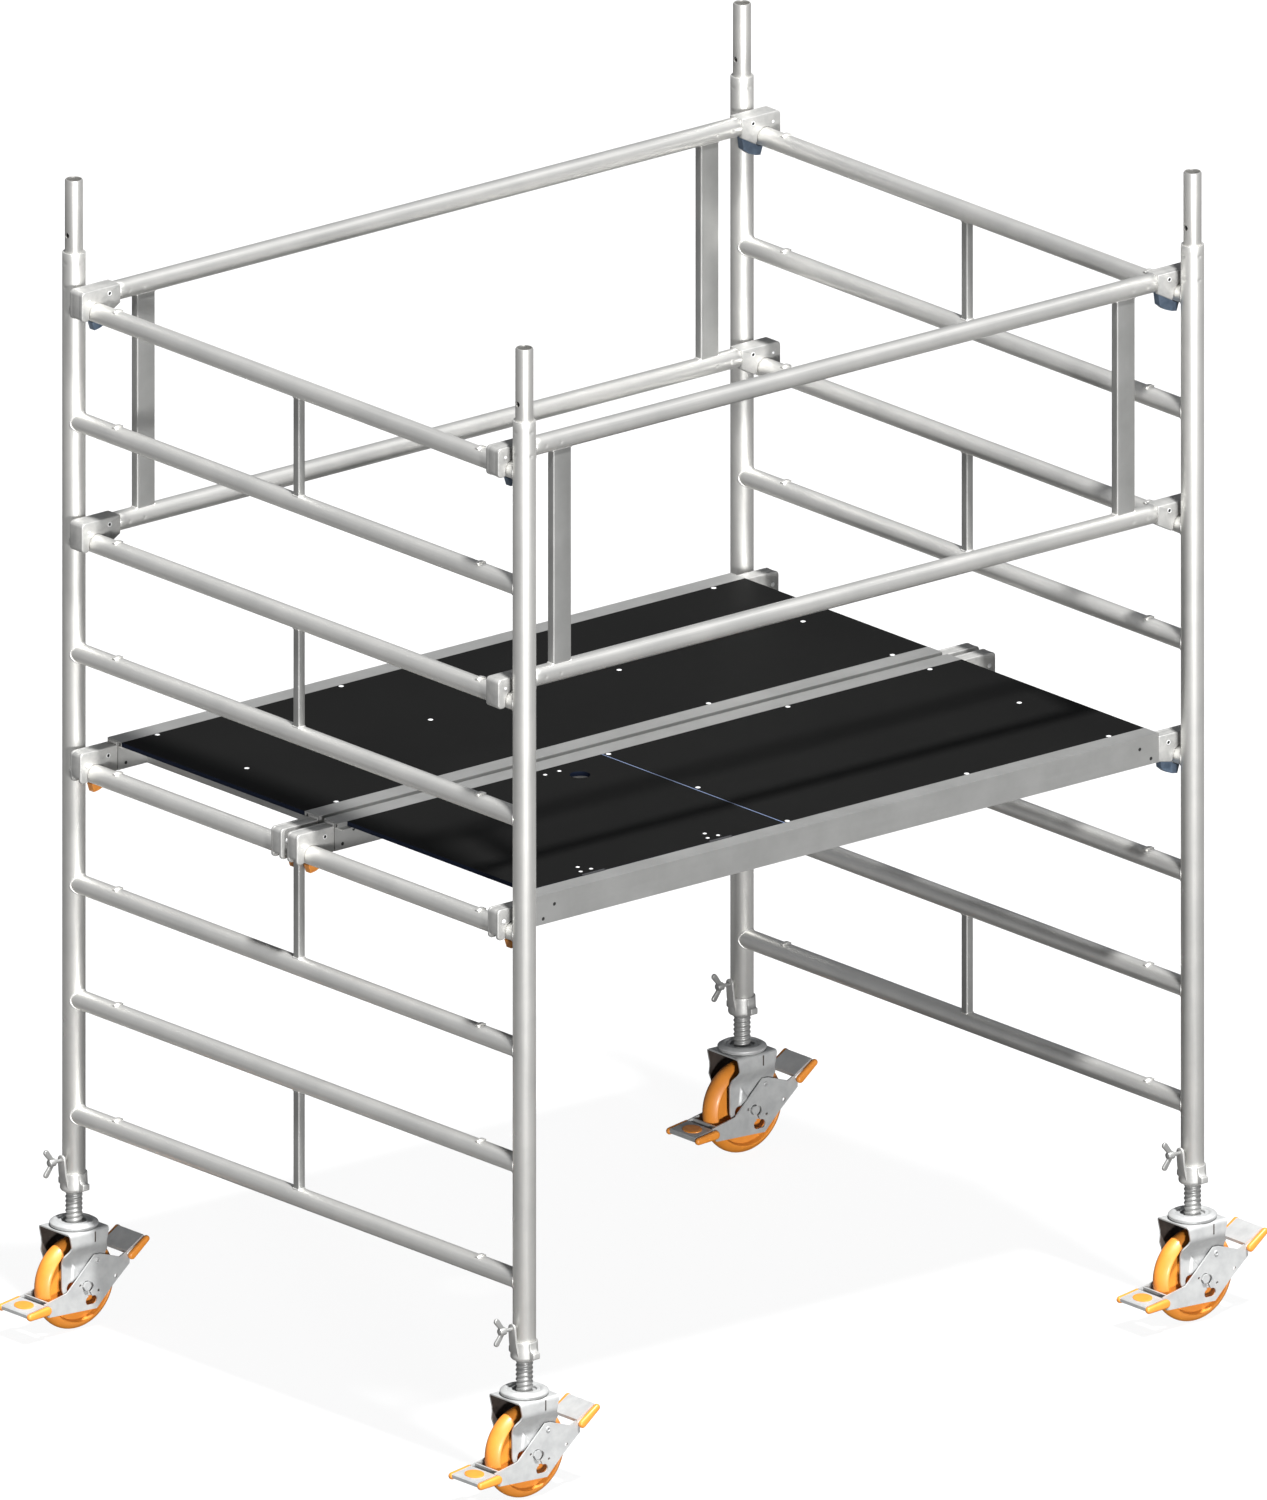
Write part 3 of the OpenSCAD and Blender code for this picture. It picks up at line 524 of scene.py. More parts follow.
spigot_alloy = surface("turned_alloy", (0.58, 0.575, 0.555), (0.66, 0.65, 0.625), (0.38, 0.48), 0.82,
                       (30, 30, 2500))
from_cad("spigot_tubes", "spigots", spigot_alloy, "frame")

# ---- Claws ----
# Cast aluminium hooks that hang the guardrails and decks on the rungs. A catch swings in a
# slot between two cheeks, and a hollow rivet and a solid rivet show on each side.
SLOT = 18.0
cast_alloy = surface("cast_alloy", (0.38, 0.38, 0.37), (0.48, 0.475, 0.46), (0.42, 0.56), 0.5,
                     (260, 260, 260), mark_scale=40, bump=0.10)
bright_rivet = surface("bright_rivet", (0.80, 0.80, 0.80), (0.92, 0.92, 0.92), (0.28, 0.40), 0.4,
                       (300, 300, 300))
# Black discs of painted shade for the bores of hollow rivets and plug holes, where the holes lie in shade.
shadow_black, tree, shader = new_material("bore_shadow_black")
shader.inputs["Base Color"].default_value = (0.006, 0.006, 0.006, 1)
shader.inputs["Roughness"].default_value = 0.8


def lathe(profile, around=48):
    """A turned shape: the (radius, height) profile is carried round the height axis."""
    profile = np.asarray(profile, float)
    turn = np.linspace(0, 2 * np.pi, around, endpoint=False)
    r, h = profile[:, :1], profile[:, 1:]
    return grid(np.stack([r * np.cos(turn), r * np.sin(turn), h * np.ones(around)], -1),
                wrap_rows=profile[0, 0] > 1e-6)


def claw_outline(back, low, high, lip, slotted):
    """Side view of a claw over a rung at the origin: a rounded nose, a lip outside the rung, an arch
    over it, and a body that runs back to the tube. Above a slot only the crown is left."""
    reach = RUNG_R + 0.4
    nose = reach + 20
    nose_r = 9.0
    parts = [arc(-nose + nose_r, high - nose_r, nose_r, 90, 180, 8),
             arc(-nose + nose_r, lip + nose_r, nose_r, 180, 270, 8),
             arc(-reach - 6, lip + 6, 6, 270, 360, 6), arc(0, 0, reach, 180, 24 if slotted else 0, 26)]
    if slotted:
        parts.append([[RUNG_R - 1, 26], [back, 26]])
    else:
        parts.append(arc(reach + 6, lip + 9, 5, 180, 300, 7))
        parts.append([[back, low]])
    parts.append(arc(back - 2, high - 2, 2, 0, 90, 4))
    return np.concatenate(parts)


def at_rung(patch, end, y, z):
    """Puts a shape drawn in (into the bay, up, across) over the rung at one end of the tower."""
    return place(patch, (0, 2, 1), (end * POST_X, y, z), (-end, 1, 1))


def both_sides(patch, a, z, half):
    """A patch turned about the height axis, set on both side faces of a claw at (a, z)."""
    points, faces = patch
    return [(np.stack([points[:, 0] + a, points[:, 1] + z, side * (points[:, 2] + half)], -1), faces)
            for side in (-1, 1)]


def rivet_pair(a, z, half, radius, proud=1.6):
    """Domed rivet heads on both sides of a claw."""
    dome = [[0, proud], [radius * 0.4, proud * 0.93], [radius * 0.75, proud * 0.65], [radius, 0.1],
            [radius, -1], [0, -1]]
    return both_sides(lathe(dome, 24), a, z, half)


def eyelets(a, z, half, radius=3.6):
    """Hollow rivets: a rolled rim round a black disc of painted shade in the bore, on both sides of a claw.
    """
    ring = lathe(arc(radius + 0.8, 0.1, 0.8, 0, 360, 9)[:-1], 24)
    shadow_disc = lathe([[0, 0.15], [radius, 0.15], [radius, -1], [0, -1]], 24)
    return both_sides(ring, a, z, half), both_sides(shadow_disc, a, z, half)


GUARD_HALF = RUNG_R - 0.2
guard_low_z, guard_top = GUARD_RISE - RUNG_R, GUARD_RISE + RUNG_R - 0.5
guard_back = POST_X - GUARD_END - 0.3
claws, claw_rivets, claw_bore_shadows = [], [], []
cheek_t = GUARD_HALF - SLOT / 2
plug_r = RUNG_BORE - 0.3
boss = lathe([[0, guard_back - 14], [19.2, guard_back - 14], [20.2, guard_back], [plug_r, guard_back + 0.2],
              [plug_r, guard_back + 40], [0, guard_back + 40]], 40)
boss = (boss[0][:, [2, 1, 0]] + np.array([0, GUARD_RISE, 0]), boss[1])
guard_side = claw_outline(guard_back, guard_low_z, guard_top, -14, False)
for end in (-1, 1):
    for j in (-1, 1):
        for k in GUARD_RUNGS:
            spot = (end, j * GUARD_Y, rung_height(k))
            shapes = [boss]
            if k == GUARD_RUNGS[1]:
                cheek = slab(guard_side, cheek_t, 2.2)
                for side in (-1, 1):
                    shapes.append((cheek[0] + np.array([0, 0, side * (SLOT + cheek_t) / 2]), cheek[1]))
                crown = claw_outline(guard_back, guard_low_z, guard_top, -13, True)
                shapes.append(slab(crown, SLOT + 5, 0.5))
            else:
                shapes.append(slab(guard_side, 2 * GUARD_HALF, 2.6))
            claws.extend(at_rung(s, *spot) for s in shapes)
            claw_rivets.extend(at_rung(s, *spot) for s in rivet_pair(-21, 28, GUARD_HALF, 3.2))
            rims, bore_shadows = eyelets(33, 35, GUARD_HALF)
            claw_rivets.extend(at_rung(s, *spot) for s in rims)
            claw_bore_shadows.extend(at_rung(s, *spot) for s in bore_shadows)
piece("guardrail_claws", claws, cast_alloy, "frame", ["guard_claws"])

DECK_RUNG = 3
DECK_CLAW_W = 33.4
deck_rail_low, deck_rail_high = box_mm("deck_rails")
DECK_END, DECK_TOP, DECK_FOOT = deck_rail_high[0], deck_rail_high[2], deck_rail_low[2]
DECK_OUT = deck_rail_high[1]
deck_z = rung_height(DECK_RUNG)
deck_back = POST_X - DECK_END - 0.3
RAIL_W = 34.0
DECK_GAP_HALF = 8.5
PLUG_EYELETS = ((111, 34), (81, 8))
claw_lines = [s * y for y in (DECK_OUT - RAIL_W / 2, DECK_GAP_HALF + RAIL_W / 2) for s in (-1, 1)]
deck_cheek_t = (DECK_CLAW_W - SLOT) / 2
claws = []
for end in (-1, 1):
    for y in claw_lines:
        low = DECK_FOOT - deck_z
        cheek = slab(claw_outline(deck_back, low, 51, -15, False), deck_cheek_t, 2.4)
        shapes = [(cheek[0] + np.array([0, 0, side * (SLOT + deck_cheek_t) / 2]), cheek[1])
                  for side in (-1, 1)]
        shapes.append(slab(claw_outline(deck_back, low, 50.4, -8, True), SLOT + 4, 0.5))
        plug = slab(round_rect(60, DECK_TOP - DECK_FOOT - 6.6, 2), 27, 0.8)
        shapes.append((plug[0] + np.array([deck_back + 30, (DECK_TOP + DECK_FOOT) / 2 - deck_z, 0]), plug[1]))
        claws.extend(at_rung(s, end, y, deck_z) for s in shapes)
        claw_rivets.extend(at_rung(s, end, y, deck_z) for s in rivet_pair(-24, 24, DECK_CLAW_W / 2, 5, 2.2))
        rims, bore_shadows = eyelets(34, 33, DECK_CLAW_W / 2)
        claw_rivets.extend(at_rung(s, end, y, deck_z) for s in rims)
        claw_bore_shadows.extend(at_rung(s, end, y, deck_z) for s in bore_shadows)
        for a, z in PLUG_EYELETS:
            bore_shadows = eyelets(a, z, RAIL_W / 2 - 0.6, 3.95)[1]
            claw_bore_shadows.extend(at_rung(s, end, y, deck_z) for s in bore_shadows)
piece("deck_rail_claws", claws, cast_alloy, "frame", ["deck_claws"])
piece("claw_rivets", claw_rivets, bright_rivet, "frame")
piece("claw_bore_shadows", claw_bore_shadows, shadow_black, "frame")

# ---- Safety catches ----
# Pressed and coated steel sickles that close under the rung. Those on the guardrails and at
# one end of the decks are steel blue, and those at the other end are orange.
CATCH_T, CATCH_REACH = 17.4, 22.5
coated_blue = surface("coated_blue", (0.085, 0.12, 0.17), (0.12, 0.16, 0.22), (0.34, 0.5), 0.35,
                      (90, 90, 90), mark_scale=60, bump=0.04)
coated_orange = surface("coated_orange", (0.50, 0.17, 0.025), (0.62, 0.24, 0.04), (0.34, 0.5), 0.0,
                        (90, 90, 90), mark_scale=60, bump=0.04)
GUARD_PIVOT, DECK_PIVOT = (46, 14), (43, 12)


def catch_outline(pivot_a, pivot_z):
    """A sickle: the outside runs from the tip under the rung up to a round eye at the pivot, and the
    inside is an arc that clears the rung."""
    outside = [[-3, -24], [3, -42], [16, -40], [34, -33], [pivot_a + 3, pivot_z - 35],
               [pivot_a + 7, pivot_z - 7]]
    eye = arc(pivot_a, pivot_z, 9, -20, 190, 14)
    inside = arc(0, 0, CATCH_REACH, 8, -86, 20)
    return np.concatenate([outside, eye, inside])


def catch(name, body, end, y, z, pivot, material):
    """One catch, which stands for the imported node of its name."""
    shape = slab(catch_outline(*pivot), CATCH_T, 1.2)
    piece(name, [at_rung(shape, end, y, z)], material, body, [body])


for letter, (i, j) in CORNERS.items():
    catch("guardrail_catch_" + letter, "guard_catch_" + letter, i, j * GUARD_Y, rung_height(GUARD_RUNGS[1]),
          GUARD_PIVOT, coated_blue)
for number, y in enumerate(sorted(claw_lines), 1):
    catch(f"deck_catch_left_{number}", f"orange_catch_{number}", -1, y, deck_z, DECK_PIVOT,
          coated_orange)
    catch(f"deck_catch_right_{number}", f"blue_catch_{number}", 1, y, deck_z, DECK_PIVOT,
          coated_blue)

# ---- Deck rails and cross members ----
# Extruded aluminium box rails with a flange and a ledge for the panel, and box tubes across
# between them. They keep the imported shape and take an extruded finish.


def dress(node, material):
    """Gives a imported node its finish."""
    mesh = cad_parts[node].data
    for index in range(len(mesh.materials)):
        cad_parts[node].material_slots[index].link = "OBJECT"
        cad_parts[node].material_slots[index].material = material


extruded_rail = surface("extruded_rail", (0.44, 0.44, 0.43), (0.50, 0.50, 0.49), (0.46, 0.56), 0.88,
                        (5, 1600, 1600))
extruded_cross = surface("extruded_cross", (0.50, 0.50, 0.49), (0.56, 0.56, 0.55), (0.46, 0.56), 0.88,
                         (1600, 5, 1600))
dress("deck_rails", extruded_rail)
dress("deck_transoms", extruded_cross)

# ---- Deck panels and hatch ----
# Film-faced plywood, near black, with a blue-black sealed edge. Bright rivets hold it to the
# ledges and cross members, and the hatch swings on two small hinges.


def film_board():
    """Near-black film with a fine mesh print, soft scuffs and a darker blue edge where the board's
    own face doesn't point up or down."""
    material, tree, shader = new_material("film_board")
    add, join = tree.nodes.new, tree.links.new
    where, parts = add("ShaderNodeTexCoord"), add("ShaderNodeSeparateXYZ")
    steep, face = add("ShaderNodeMath"), add("ShaderNodeMath")
    steep.operation, face.operation = "ABSOLUTE", "GREATER_THAN"
    face.inputs[1].default_value = 0.6
    join(where.outputs["Normal"], parts.inputs[0])
    join(parts.outputs["Z"], steep.inputs[0])
    join(steep.outputs[0], face.inputs[0])
    scuffs, weave = add("ShaderNodeTexNoise"), add("ShaderNodeTexVoronoi")
    scuffs.inputs["Scale"].default_value = 3.5
    scuffs.inputs["Detail"].default_value = 6
    weave.inputs["Scale"].default_value = 420
    join(where.outputs["Object"], scuffs.inputs["Vector"])
    join(where.outputs["Object"], weave.inputs["Vector"])
    top, edge = add("ShaderNodeMix"), add("ShaderNodeMix")
    top.data_type = edge.data_type = "RGBA"
    top.inputs["A"].default_value = (0.0035, 0.0035, 0.0034, 1)
    top.inputs["B"].default_value = (0.0060, 0.0060, 0.0058, 1)
    edge.inputs["A"].default_value = (0.005, 0.008, 0.018, 1)
    join(scuffs.outputs["Fac"], top.inputs["Factor"])
    join(face.outputs[0], edge.inputs["Factor"])
    join(top.outputs["Result"], edge.inputs["B"])
    join(edge.outputs["Result"], shader.inputs["Base Color"])
    gloss, relief = add("ShaderNodeMapRange"), add("ShaderNodeBump")
    gloss.inputs["To Min"].default_value, gloss.inputs["To Max"].default_value = 0.55, 0.70
    relief.inputs["Strength"].default_value = 0.12
    relief.inputs["Distance"].default_value = 0.0004
    join(scuffs.outputs["Fac"], gloss.inputs["Value"])
    join(gloss.outputs["Result"], shader.inputs["Roughness"])
    join(weave.outputs["Distance"], relief.inputs["Height"])
    join(relief.outputs["Normal"], shader.inputs["Normal"])
    shader.inputs["Specular IOR Level"].default_value = 0.07
    return material


board = film_board()
for node in ("far_deck_panel", "near_deck_panel", "hatch_panel"):
    dress(node, board)
zinc_plate = surface("zinc_plate", (0.42, 0.425, 0.425), (0.50, 0.505, 0.50), (0.40, 0.52), 0.3,
                     (150, 150, 150), mark_scale=35, bump=0.05)
blacked_steel = surface("blacked_steel", (0.020, 0.020, 0.022), (0.035, 0.035, 0.038), (0.40, 0.55), 0.3,
                        (200, 200, 200))
from_cad("hatch_hinge_halves", "hatch_hinge_fixed", blacked_steel, "frame")
from_cad("hatch_leaves", "hatch_fittings", blacked_steel, "hatch")
panel_low, panel_high = box_mm("far_deck_panel")
near_low, near_high = box_mm("near_deck_panel")
hatch_low, hatch_high = box_mm("hatch_panel")
rivet_line = box_mm("deck_rivets")[1][1]
RIVET_R = 5.5
NEAR_MIDDLE = 364
HINGE_Y = -636.3
HINGE_SCREWS, LATCH_SCREWS = ((0, 49), (-14, 23), (14, 23)), (-174.5, -136.5)
rivet_rows = [rivet_line - RIVET_R, (panel_low[1] + panel_high[1]) / 2,
              panel_low[1] + panel_high[1] - rivet_line + RIVET_R]
cross_far = [-746, -253, 253, 746]
cross_near = [hatch_high[0] + 13.5, NEAR_MIDDLE, 745]
heads = [(x, y) for x in cross_far for y in rivet_rows]
heads += [(x, -y) for x in cross_near for y in rivet_rows if x != NEAR_MIDDLE or y != rivet_rows[1]]
head = lathe([[0, 1.1], [2.4, 1.0], [4.4, 0.6], [RIVET_R, -0.1], [RIVET_R, -2], [2.4, -2.2], [2.4, -9],
              [0, -9]], 32)
piece("panel_rivets", [place(head, (0, 1, 2), (x, y, panel_high[2])) for x, y in heads],
      bright_rivet, "frame", ["deck_rivets"])
hinge_length = hatch_high[0] - hatch_low[0]
hinge_xs = [hatch_low[0] + 0.25 * hinge_length, hatch_high[0] - 0.25 * hinge_length]
screws = [(x + dx, HINGE_Y + dy) for x in hinge_xs for dx, dy in HINGE_SCREWS]
screws += [(hatch_high[0] + dx, hatch_high[1] - 28) for dx in LATCH_SCREWS]
screw = lathe([[0, 0.5], [1.2, 0.5], [1.5, 0.9], [3.4, 0.6], [4.3, 0.1], [4.3, -0.6], [0, -0.6]], 28)
piece("hatch_screws", [place(screw, (0, 1, 2), (x, y, hatch_high[2])) for x, y in screws],
      bright_rivet, "hatch")
blue_seal = surface("blue_seal", (0.15, 0.20, 0.34), (0.19, 0.25, 0.40), (0.45, 0.6), 0.0, (60, 60, 60))
seal = slab(round_rect(2.2, 4.0, 0.6, 3), near_high[1] - near_low[1] - 1, 0.3)
seal_at = (near_low[0] - 1.15, (near_low[1] + near_high[1]) / 2, near_high[2] - 1.7)
piece("hatch_seal", [place(seal, (0, 2, 1), seal_at)], blue_seal, "frame")

# ---- Threaded spindles ----
# Steel legs with a coarse rolled thread, which screw up into the nuts. Each ends below in the
# domed upper ring of its castor's ball race and the kingpin.
THREAD_PITCH, THREAD_CREST, THREAD_ROOT = 10.0, 18.0, 15.8
THREAD_ROW = 1.25


def thread(low, high, around=40):
    """A rolled thread: the radius is a cosine of the angle less the height's share of a turn, and it
    fades to the root over the last few millimetres at the top."""
    z = np.arange(low, high + 0.01, THREAD_ROW)[:, None]
    turn = np.linspace(0, 2 * np.pi, around, endpoint=False)[None, :]
    wave = np.cos(turn - 2 * np.pi * z / THREAD_PITCH)
    crest = np.clip((high - z) / 6, 0, 1)
    radius = THREAD_ROOT + (THREAD_CREST - THREAD_ROOT) * (0.5 + 0.5 * wave) * crest
    rows = np.stack([radius * np.cos(turn), radius * np.sin(turn), z * np.ones_like(turn)], -1)
    points, faces = grid(rows)
    count = len(points)
    return points, faces + [list(range(around))[::-1], list(range(count - around, count))]


SPINDLE_TOP = box_mm("spindle_a")[1][2]
FORK_TOP = box_mm("fork_a")[1][2] - 2
RACE = FORK_TOP + 2.3
ring_section = np.concatenate([[[17, RACE], [49.5, RACE]], arc(47.5, RACE + 4.5, 3.5, -50, 60, 7),
                               arc(40, RACE + 4.0, 7.7, 70, 120, 7), [[33, RACE + 8.6], [30.5, RACE + 9.6]],
                               arc(28, RACE + 7.6, 2.4, 60, 180, 6), [[25.6, RACE + 4], [17, RACE + 4]]])
kingpin = [[0, FORK_TOP - 13], [16, FORK_TOP - 13], [16, FORK_TOP - 4], [10, FORK_TOP - 4],
           [10, RACE + 1], [0, RACE + 1]]
rolled_zinc = surface("rolled_zinc", (0.30, 0.30, 0.295), (0.38, 0.38, 0.37), (0.38, 0.50), 0.6,
                      (200, 200, 200))
spindle = thread(RACE + 3, SPINDLE_TOP)
race_patches = [lathe(ring_section, 72), lathe(kingpin, 32)]
for letter, (i, j) in CORNERS.items():
    origin = (i * POST_X, j * POST_Y, 0)
    piece("threaded_leg_" + letter, [place(spindle, (0, 1, 2), origin)], rolled_zinc, "leg_" + letter,
          ["spindle_" + letter], sharp=50)
    piece("race_ring_" + letter, [place(p, (0, 1, 2), origin) for p in race_patches], zinc_plate,
          "leg_" + letter, sharp=50)

# ---- Spindle nuts ----
# Castings that the posts stand in. Two lugs turn the nut, and a flat ear carries the wing bolt
# that locks it against the post.
NUT_LOW = box_mm("spindle_nut_a")[0][2]
WING_RISE = 71.0
nut_section = np.concatenate([[[18.1, 0], [23.5, 0]], arc(22, 7, 7, -75, 0, 6),
                              [[29, 9], [28.4, 22], [27.8, 34]], arc(26.3, 39.5, 1.5, 0, 90, 4),
                              [[24.5, 41], [24.5, 30.6], [18.1, 30.6]]])
nut_body = lathe(nut_section, 56)
lug_outline = np.concatenate([[[16, 1], [24, 1]], arc(37.5, 10, 3, -70, 0, 5),
                              arc(38, 18.5, 2.5, 0, 90, 5), arc(38.5, 30.5, 9.5, 262, 184, 9),
                              [[28.6, 40], [25.6, 40], [25.6, 29], [19.5, 29]]])
lug = slab(lug_outline, 18, 2.0)
lugs = [place(lug, (2, 0, 1), flip=(1, s, 1)) for s in (-1, 1)]
ear_outline = np.concatenate([arc(0, WING_RISE, 10.8, 0, 180, 16),
                              [[-11.5, 40], [-12.5, 8], [12.5, 8], [11.5, 40]]])
ear_points, ear_faces = place(slab(ear_outline, 5, 1.2), (2, 0, 1), (-32.5, 0, 0))
ear_points[:, 0] += np.clip(52 - ear_points[:, 2], 0, 40) * 0.22
nut_patches = [nut_body, *lugs, (ear_points, ear_faces)]
for letter, (i, j) in CORNERS.items():
    origin = (i * POST_X, j * POST_Y, NUT_LOW)
    piece("cast_nut_" + letter, [place(p, (0, 1, 2), origin) for p in nut_patches],
          cast_alloy, "nut_" + letter, ["spindle_nut_" + letter])

# ---- Wing bolts ----
# Cast bolts with two round-tipped wings, screwed through the ear until they bear on the post.


def capsule(x0, y0, r0, x1, y1, r1, count=12):
    """The outline round two circles and the straight lines that touch both."""
    heading = math.degrees(math.atan2(y1 - y0, x1 - x0))
    lean = math.degrees(math.acos((r0 - r1) / math.hypot(x1 - x0, y1 - y0)))
    return np.concatenate([arc(x1, y1, r1, heading - lean, heading + lean, count),
                           arc(x0, y0, r0, heading + lean, heading - lean + 360, count)])


shank = lathe([[0, 24.6], [3, 24.6], [4, 26], [4, 51], [7, 51.5], [8.3, 53], [8.3, 65], [7, 67.4],
               [4, 68.3], [0, 68.5]], 28)
shank = place(shank, (2, 1, 0), flip=(-1, 1, 1))
wings = [place(slab(capsule(-59, s * 4, 5, -74.5, s * 24, 6.4), 6.5, 2.2), (0, 2, 1)) for s in (-1, 1)]
for letter, (i, j) in CORNERS.items():
    origin = (i * POST_X, j * POST_Y, NUT_LOW + WING_RISE)
    piece("wing_screw_" + letter, [place(p, (0, 1, 2), origin) for p in [shank, *wings]],
          rolled_zinc, "wing_" + letter, ["wing_bolt_" + letter])

# ---- Castor forks ----
# Pressed from 3.3 mm steel plate: a flat top, skirts with a joggle that brings the legs in
# beside the wheel, a stiffening dent and a round window in each leg.
AXLE = 100.0
FORK_T = 3.3
LEG_Y, SKIRT_Y = 30.5 - FORK_T / 2, 50.5 - FORK_T / 2
WINDOW_X, WINDOW_R = -32, 13.0
DENT_CORNERS, DENT_DEPTH = ((-34, 10), (-7.5, 22.5), (-30, 55)), 4.0
FORK_LOW = box_mm("fork_a")[0][2]


def rounded_path(points, radii, steps=6):
    """A path whose inner corners are rounded: each corner becomes a quadratic curve between the
    points that lie its radius away along both sides."""
    path = [np.array(points[0], float)]
    for before, corner, after, radius in zip(points, points[1:], points[2:], radii):
        before, corner, after = (np.array(p, float) for p in (before, corner, after))
        first = corner + (before - corner) / np.linalg.norm(before - corner) * radius
        last = corner + (after - corner) / np.linalg.norm(after - corner) * radius
        t = np.linspace(0, 1, steps + 1)[:, None]
        path.extend((1 - t) ** 2 * first + 2 * t * (1 - t) * corner + t ** 2 * last)
    path.append(np.array(points[-1], float))
    return np.array(path)


def fork_sheet():
    """The fork's middle surface: its section across the wheel, carried along X over a half width
    that follows the height. Points round the window move out to its rim, and a dent stands proud."""
    middle = FORK_TOP - FORK_T / 2
    half = rounded_path([(LEG_Y, FORK_LOW), (LEG_Y, AXLE + 60), (SKIRT_Y, FORK_TOP - 32), (SKIRT_Y, middle),
                         (0, middle)], (9, 9, 6))
    along = np.concatenate([[0], np.cumsum(np.linalg.norm(np.diff(half, axis=0), axis=1))])
    even = np.linspace(0, along[-1], 76)
    half = np.stack([np.interp(even, along, half[:, c]) for c in (0, 1)], -1)
    section = np.concatenate([half, half[-2::-1] * np.array([-1, 1])])
    levels = [FORK_LOW, FORK_LOW + 4, AXLE - 15, AXLE, AXLE + 72, FORK_TOP - 38, FORK_TOP - 30, FORK_TOP]
    width = np.interp(section[:, 1], levels, [26, 38, 52, 57, 58, 49, 46.5, 53])
    cells = np.linspace(-1, 1, 53)
    x = width[:, None] * cells[None, :]
    y = np.broadcast_to(section[:, :1], x.shape).copy()
    z = np.broadcast_to(section[:, 1:], x.shape).copy()
    on_leg = z < AXLE + 40
    dx, dz = x - WINDOW_X, z - AXLE
    away = np.hypot(dx, dz)
    near = on_leg & (away < 16) & (away > 0.01)
    push = np.where(near, np.maximum(WINDOW_R, away) / np.maximum(away, 0.01), 1)
    inside = on_leg & (away < 10.5)
    x, z = np.where(near, WINDOW_X + dx * push, x), np.where(near, AXLE + dz * push, z)
    corners = np.array(DENT_CORNERS) + np.array([0, AXLE])
    depth = np.full(x.shape, DENT_DEPTH)
    for a, b in zip(corners, np.roll(corners, -1, 0)):
        step = (b - a) / np.linalg.norm(b - a)
        depth = np.minimum(depth, step[0] * (z - a[1]) - step[1] * (x - a[0]))
    y += np.sign(y) * np.clip(depth, 0, DENT_DEPTH) * 0.9
    points, faces = grid(np.stack([x, y, z], -1), wrap_cols=False)
    hidden = inside.reshape(-1)
    faces = [f for f in faces if not all(hidden[i] for i in f)]
    return points, faces


def thicken(thing, thickness, inside):
    """Gives a sheet its thickness, half to each side, with the inner face in its own material, and
    softens the cut edge. On the fork that inner material is painted shade, near black inside the skirts."""
    wall = thing.modifiers.new("plate", "SOLIDIFY")
    wall.thickness, wall.offset = thickness * 0.001, 0.0
    thing.data.materials.append(inside)
    wall.material_offset = 1
    soft = thing.modifiers.new("edge", "BEVEL")
    soft.width, soft.segments, soft.angle_limit = 0.0006, 2, math.radians(50)


fork_patch = fork_sheet()
# Near-black warm zinc for the fork's inner faces and the skirt slits: painted shade, standing in for the
# shade inside the pressed fork and in its slits.
painted_shade_zinc = surface("painted_shade_zinc", (0.045, 0.036, 0.032), (0.085, 0.068, 0.058), (0.42, 0.6), 0.5,
                       (80, 80, 80), mark_scale=30, bump=0.06)
lower_race = lathe([[28, FORK_TOP - 0.2], [46, FORK_TOP - 0.2], [44, FORK_TOP + 2], [28, FORK_TOP + 2]],
                   64)
# The skirt slits are thin near-black plates laid on the skirts: painted shade where the openings are.
slit = slab(round_rect(3, 23, 1.4, 5), 0.5, 0.1)
slits = [place(slit, (0, 2, 1), (15, side * (SKIRT_Y + FORK_T / 2 + 0.1), FORK_TOP - 16))
         for side in (-1, 1)]
stub = lathe([[0, 29], [8, 29], [8, 36.2], [4.4, 36.3], [4.4, 40.2], [5.8, 40.3], [5.8, 41.2],
              [4.9, 42.1], [3.2, 42.1], [2.7, 41.4], [2.7, 37], [0, 37]], 28)
BRAKE_X, BRAKE_Z = 30.0, AXLE + 49.0
stubs = [place(stub, (0, 2, 1), (BRAKE_X, 0, BRAKE_Z), (1, s, 1)) for s in (-1, 1)]
for letter, (i, j) in CORNERS.items():
    origin = (i * POST_X, j * POST_Y, 0)
    body = "castor_" + letter
    fork = piece("castor_fork_" + letter, [place(fork_patch, (0, 1, 2), origin)], zinc_plate, body,
                 ["fork_" + letter], sharp=60)
    thicken(fork, FORK_T, painted_shade_zinc)
    piece("fork_race_and_stubs_" + letter, [place(p, (0, 1, 2), origin) for p in (lower_race, *stubs)],
          zinc_plate, body)
    piece("skirt_slits_" + letter, [place(p, (0, 1, 2), origin) for p in slits], painted_shade_zinc, body)
    from_cad("axle_" + letter, "axle_bolt_" + letter, zinc_plate, body)

# ---- Wheels ----
# Moulded orange wheels, 200 mm across, with a crowned tread, a dished web and a hub that turns
# on the axle bolt.
WHEEL_R, WHEEL_HALF, HUB_HALF = 100.0, 23.0, 26.6
orange_moulding = surface("orange_moulding", (0.66, 0.225, 0.028), (0.76, 0.27, 0.036), (0.40, 0.52), 0.0,
                          (140, 140, 140), mark_scale=18, bump=0.05, coat=0.12)


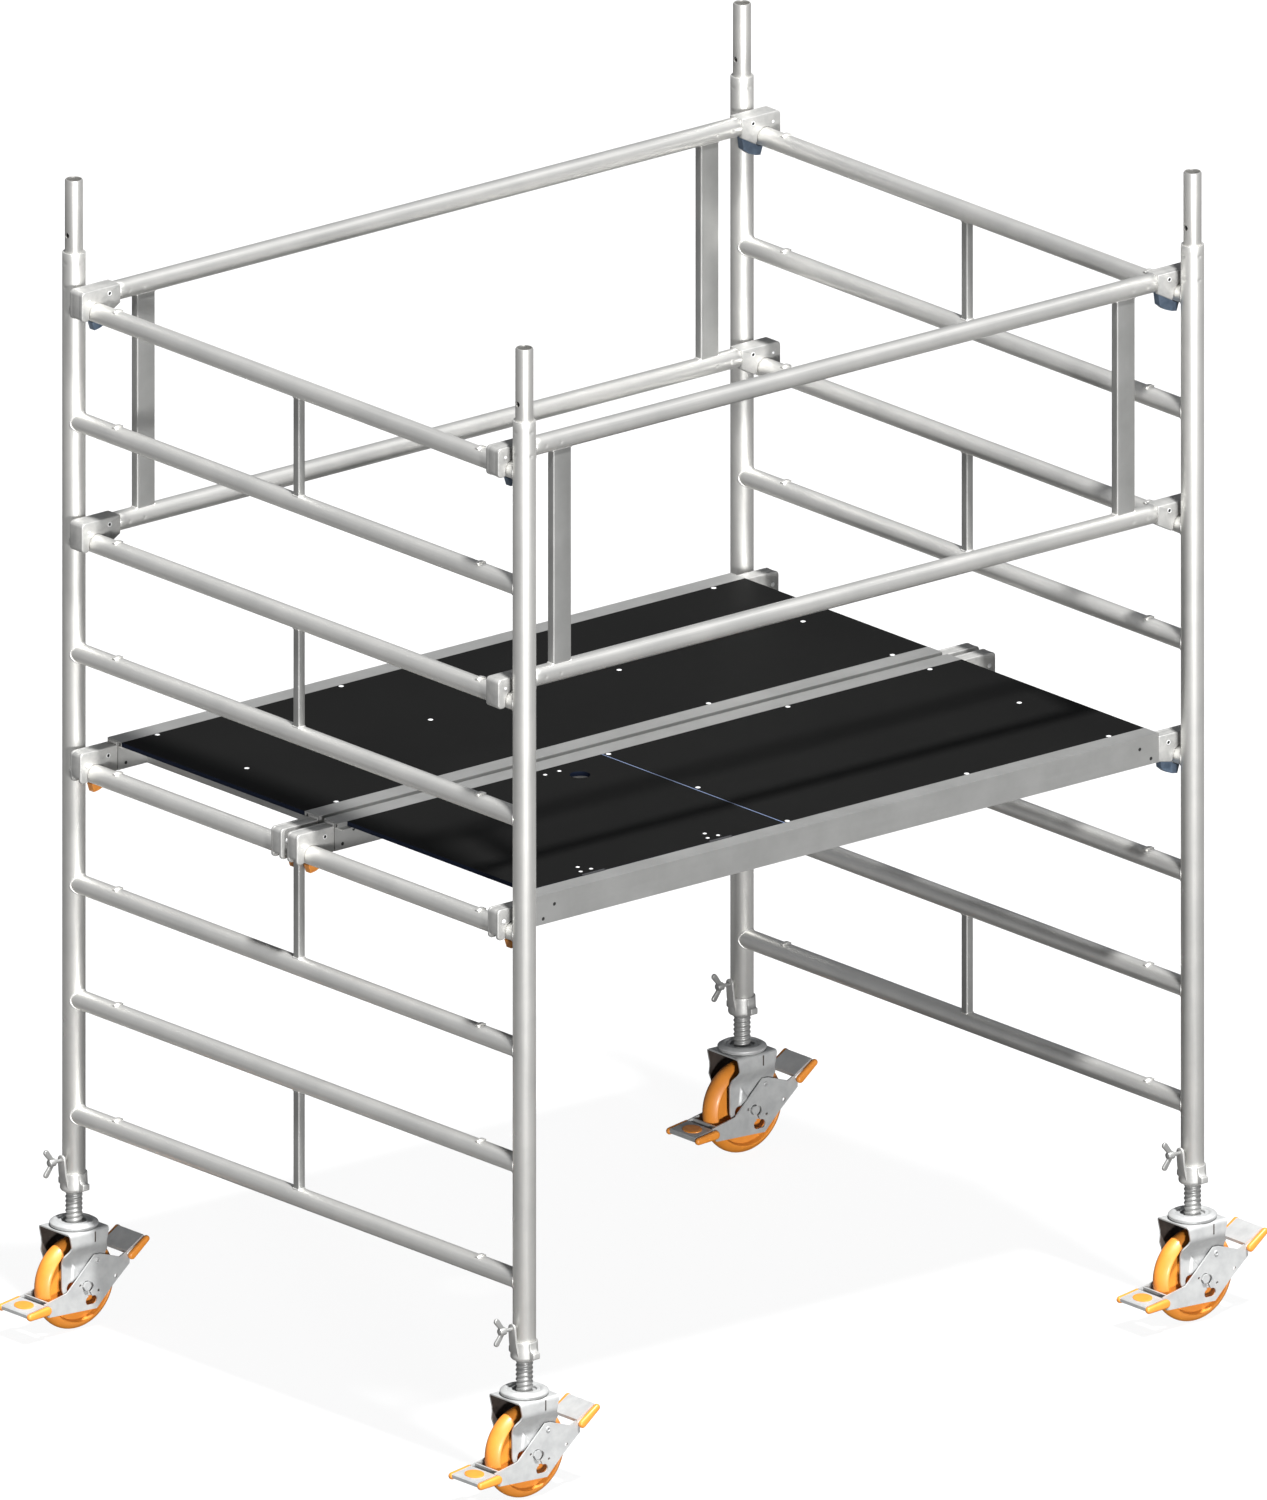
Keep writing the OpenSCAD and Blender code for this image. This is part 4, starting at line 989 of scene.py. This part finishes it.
def wheel_profile():
    """Half of the wheel's section, hub to crown, then mirrored: the tread is a shallow power curve
    across its width, and the web is dished between hub and rim."""
    tread_x = np.linspace(0, 1, 12)
    tread = np.stack([WHEEL_R - 13 * tread_x ** 2.2, tread_x * (WHEEL_HALF - 1.5)], -1)
    rim = arc(83.5, WHEEL_HALF - 3, 3, 45, 150, 6)
    dish = np.array([[79.5, 17], [77.5, 12.5], [70, 10.4], [56, 9.6], [42, 9.8], [32, 11.4], [26.5, 14.5],
                     [24, 19]])
    hub = np.array([[22.8, HUB_HALF - 1.2], [21.5, HUB_HALF], [13.5, HUB_HALF], [12.5, HUB_HALF - 3],
                    [6.1, HUB_HALF - 3]])
    half = np.concatenate([tread, rim, dish, hub])
    return np.concatenate([half, half[::-1] * np.array([1, -1])])[:-1]


wheel_patch = lathe(wheel_profile(), 120)
for letter, (i, j) in CORNERS.items():
    piece("castor_wheel_" + letter, [place(wheel_patch, (0, 2, 1), (i * POST_X, j * POST_Y, AXLE))],
          orange_moulding, "wheel_" + letter, ["wheel_" + letter], sharp=50)

# ---- Brakes ----
# A zinc-plated rocker of two side plates, with a pedal at one end and a release lever at the
# other. Orange caps cover the plates' ends, and an oval orange pad marks the pedal.
CAP_T, PLATE_OUT = 12.0, 40.0
PEDAL_SLOPE, PAD_SIZE, PAD_AT = 0.149, (17, 24.5), (-134, 0, -23.8)
cap_outlines = [capsule(-109.5, -30.4, 9.6, -155.5, -34.6, 7.4), capsule(117, 43.4, 8.8, 155.5, 71.2, 6.9)]
caps = [place(slab(outline, CAP_T, 5.2, 5), (0, 2, 1), (0, s * (PLATE_OUT + CAP_T / 2), 0))
        for outline in cap_outlines for s in (-1, 1)]
pad_points, pad_faces = lathe([[0, 2.4], [0.7, 2.3], [0.93, 1.9], [1, 1.2], [1, -2], [0, -2]], 40)
pad_points = pad_points * np.array([*PAD_SIZE, 1])
pad_points[:, 2] += PEDAL_SLOPE * pad_points[:, 0]
pad = (pad_points + np.array(PAD_AT), pad_faces)
for letter, (i, j) in CORNERS.items():
    origin = (i * POST_X, j * POST_Y, AXLE)
    from_cad("brake_plates_" + letter, "brake_rocker_" + letter, zinc_plate, "brake_" + letter)
    piece("brake_caps_" + letter, [place(p, (0, 1, 2), origin) for p in [*caps, pad]],
          orange_moulding, "brake_" + letter, ["brake_pads_" + letter], sharp=50)

low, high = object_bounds()
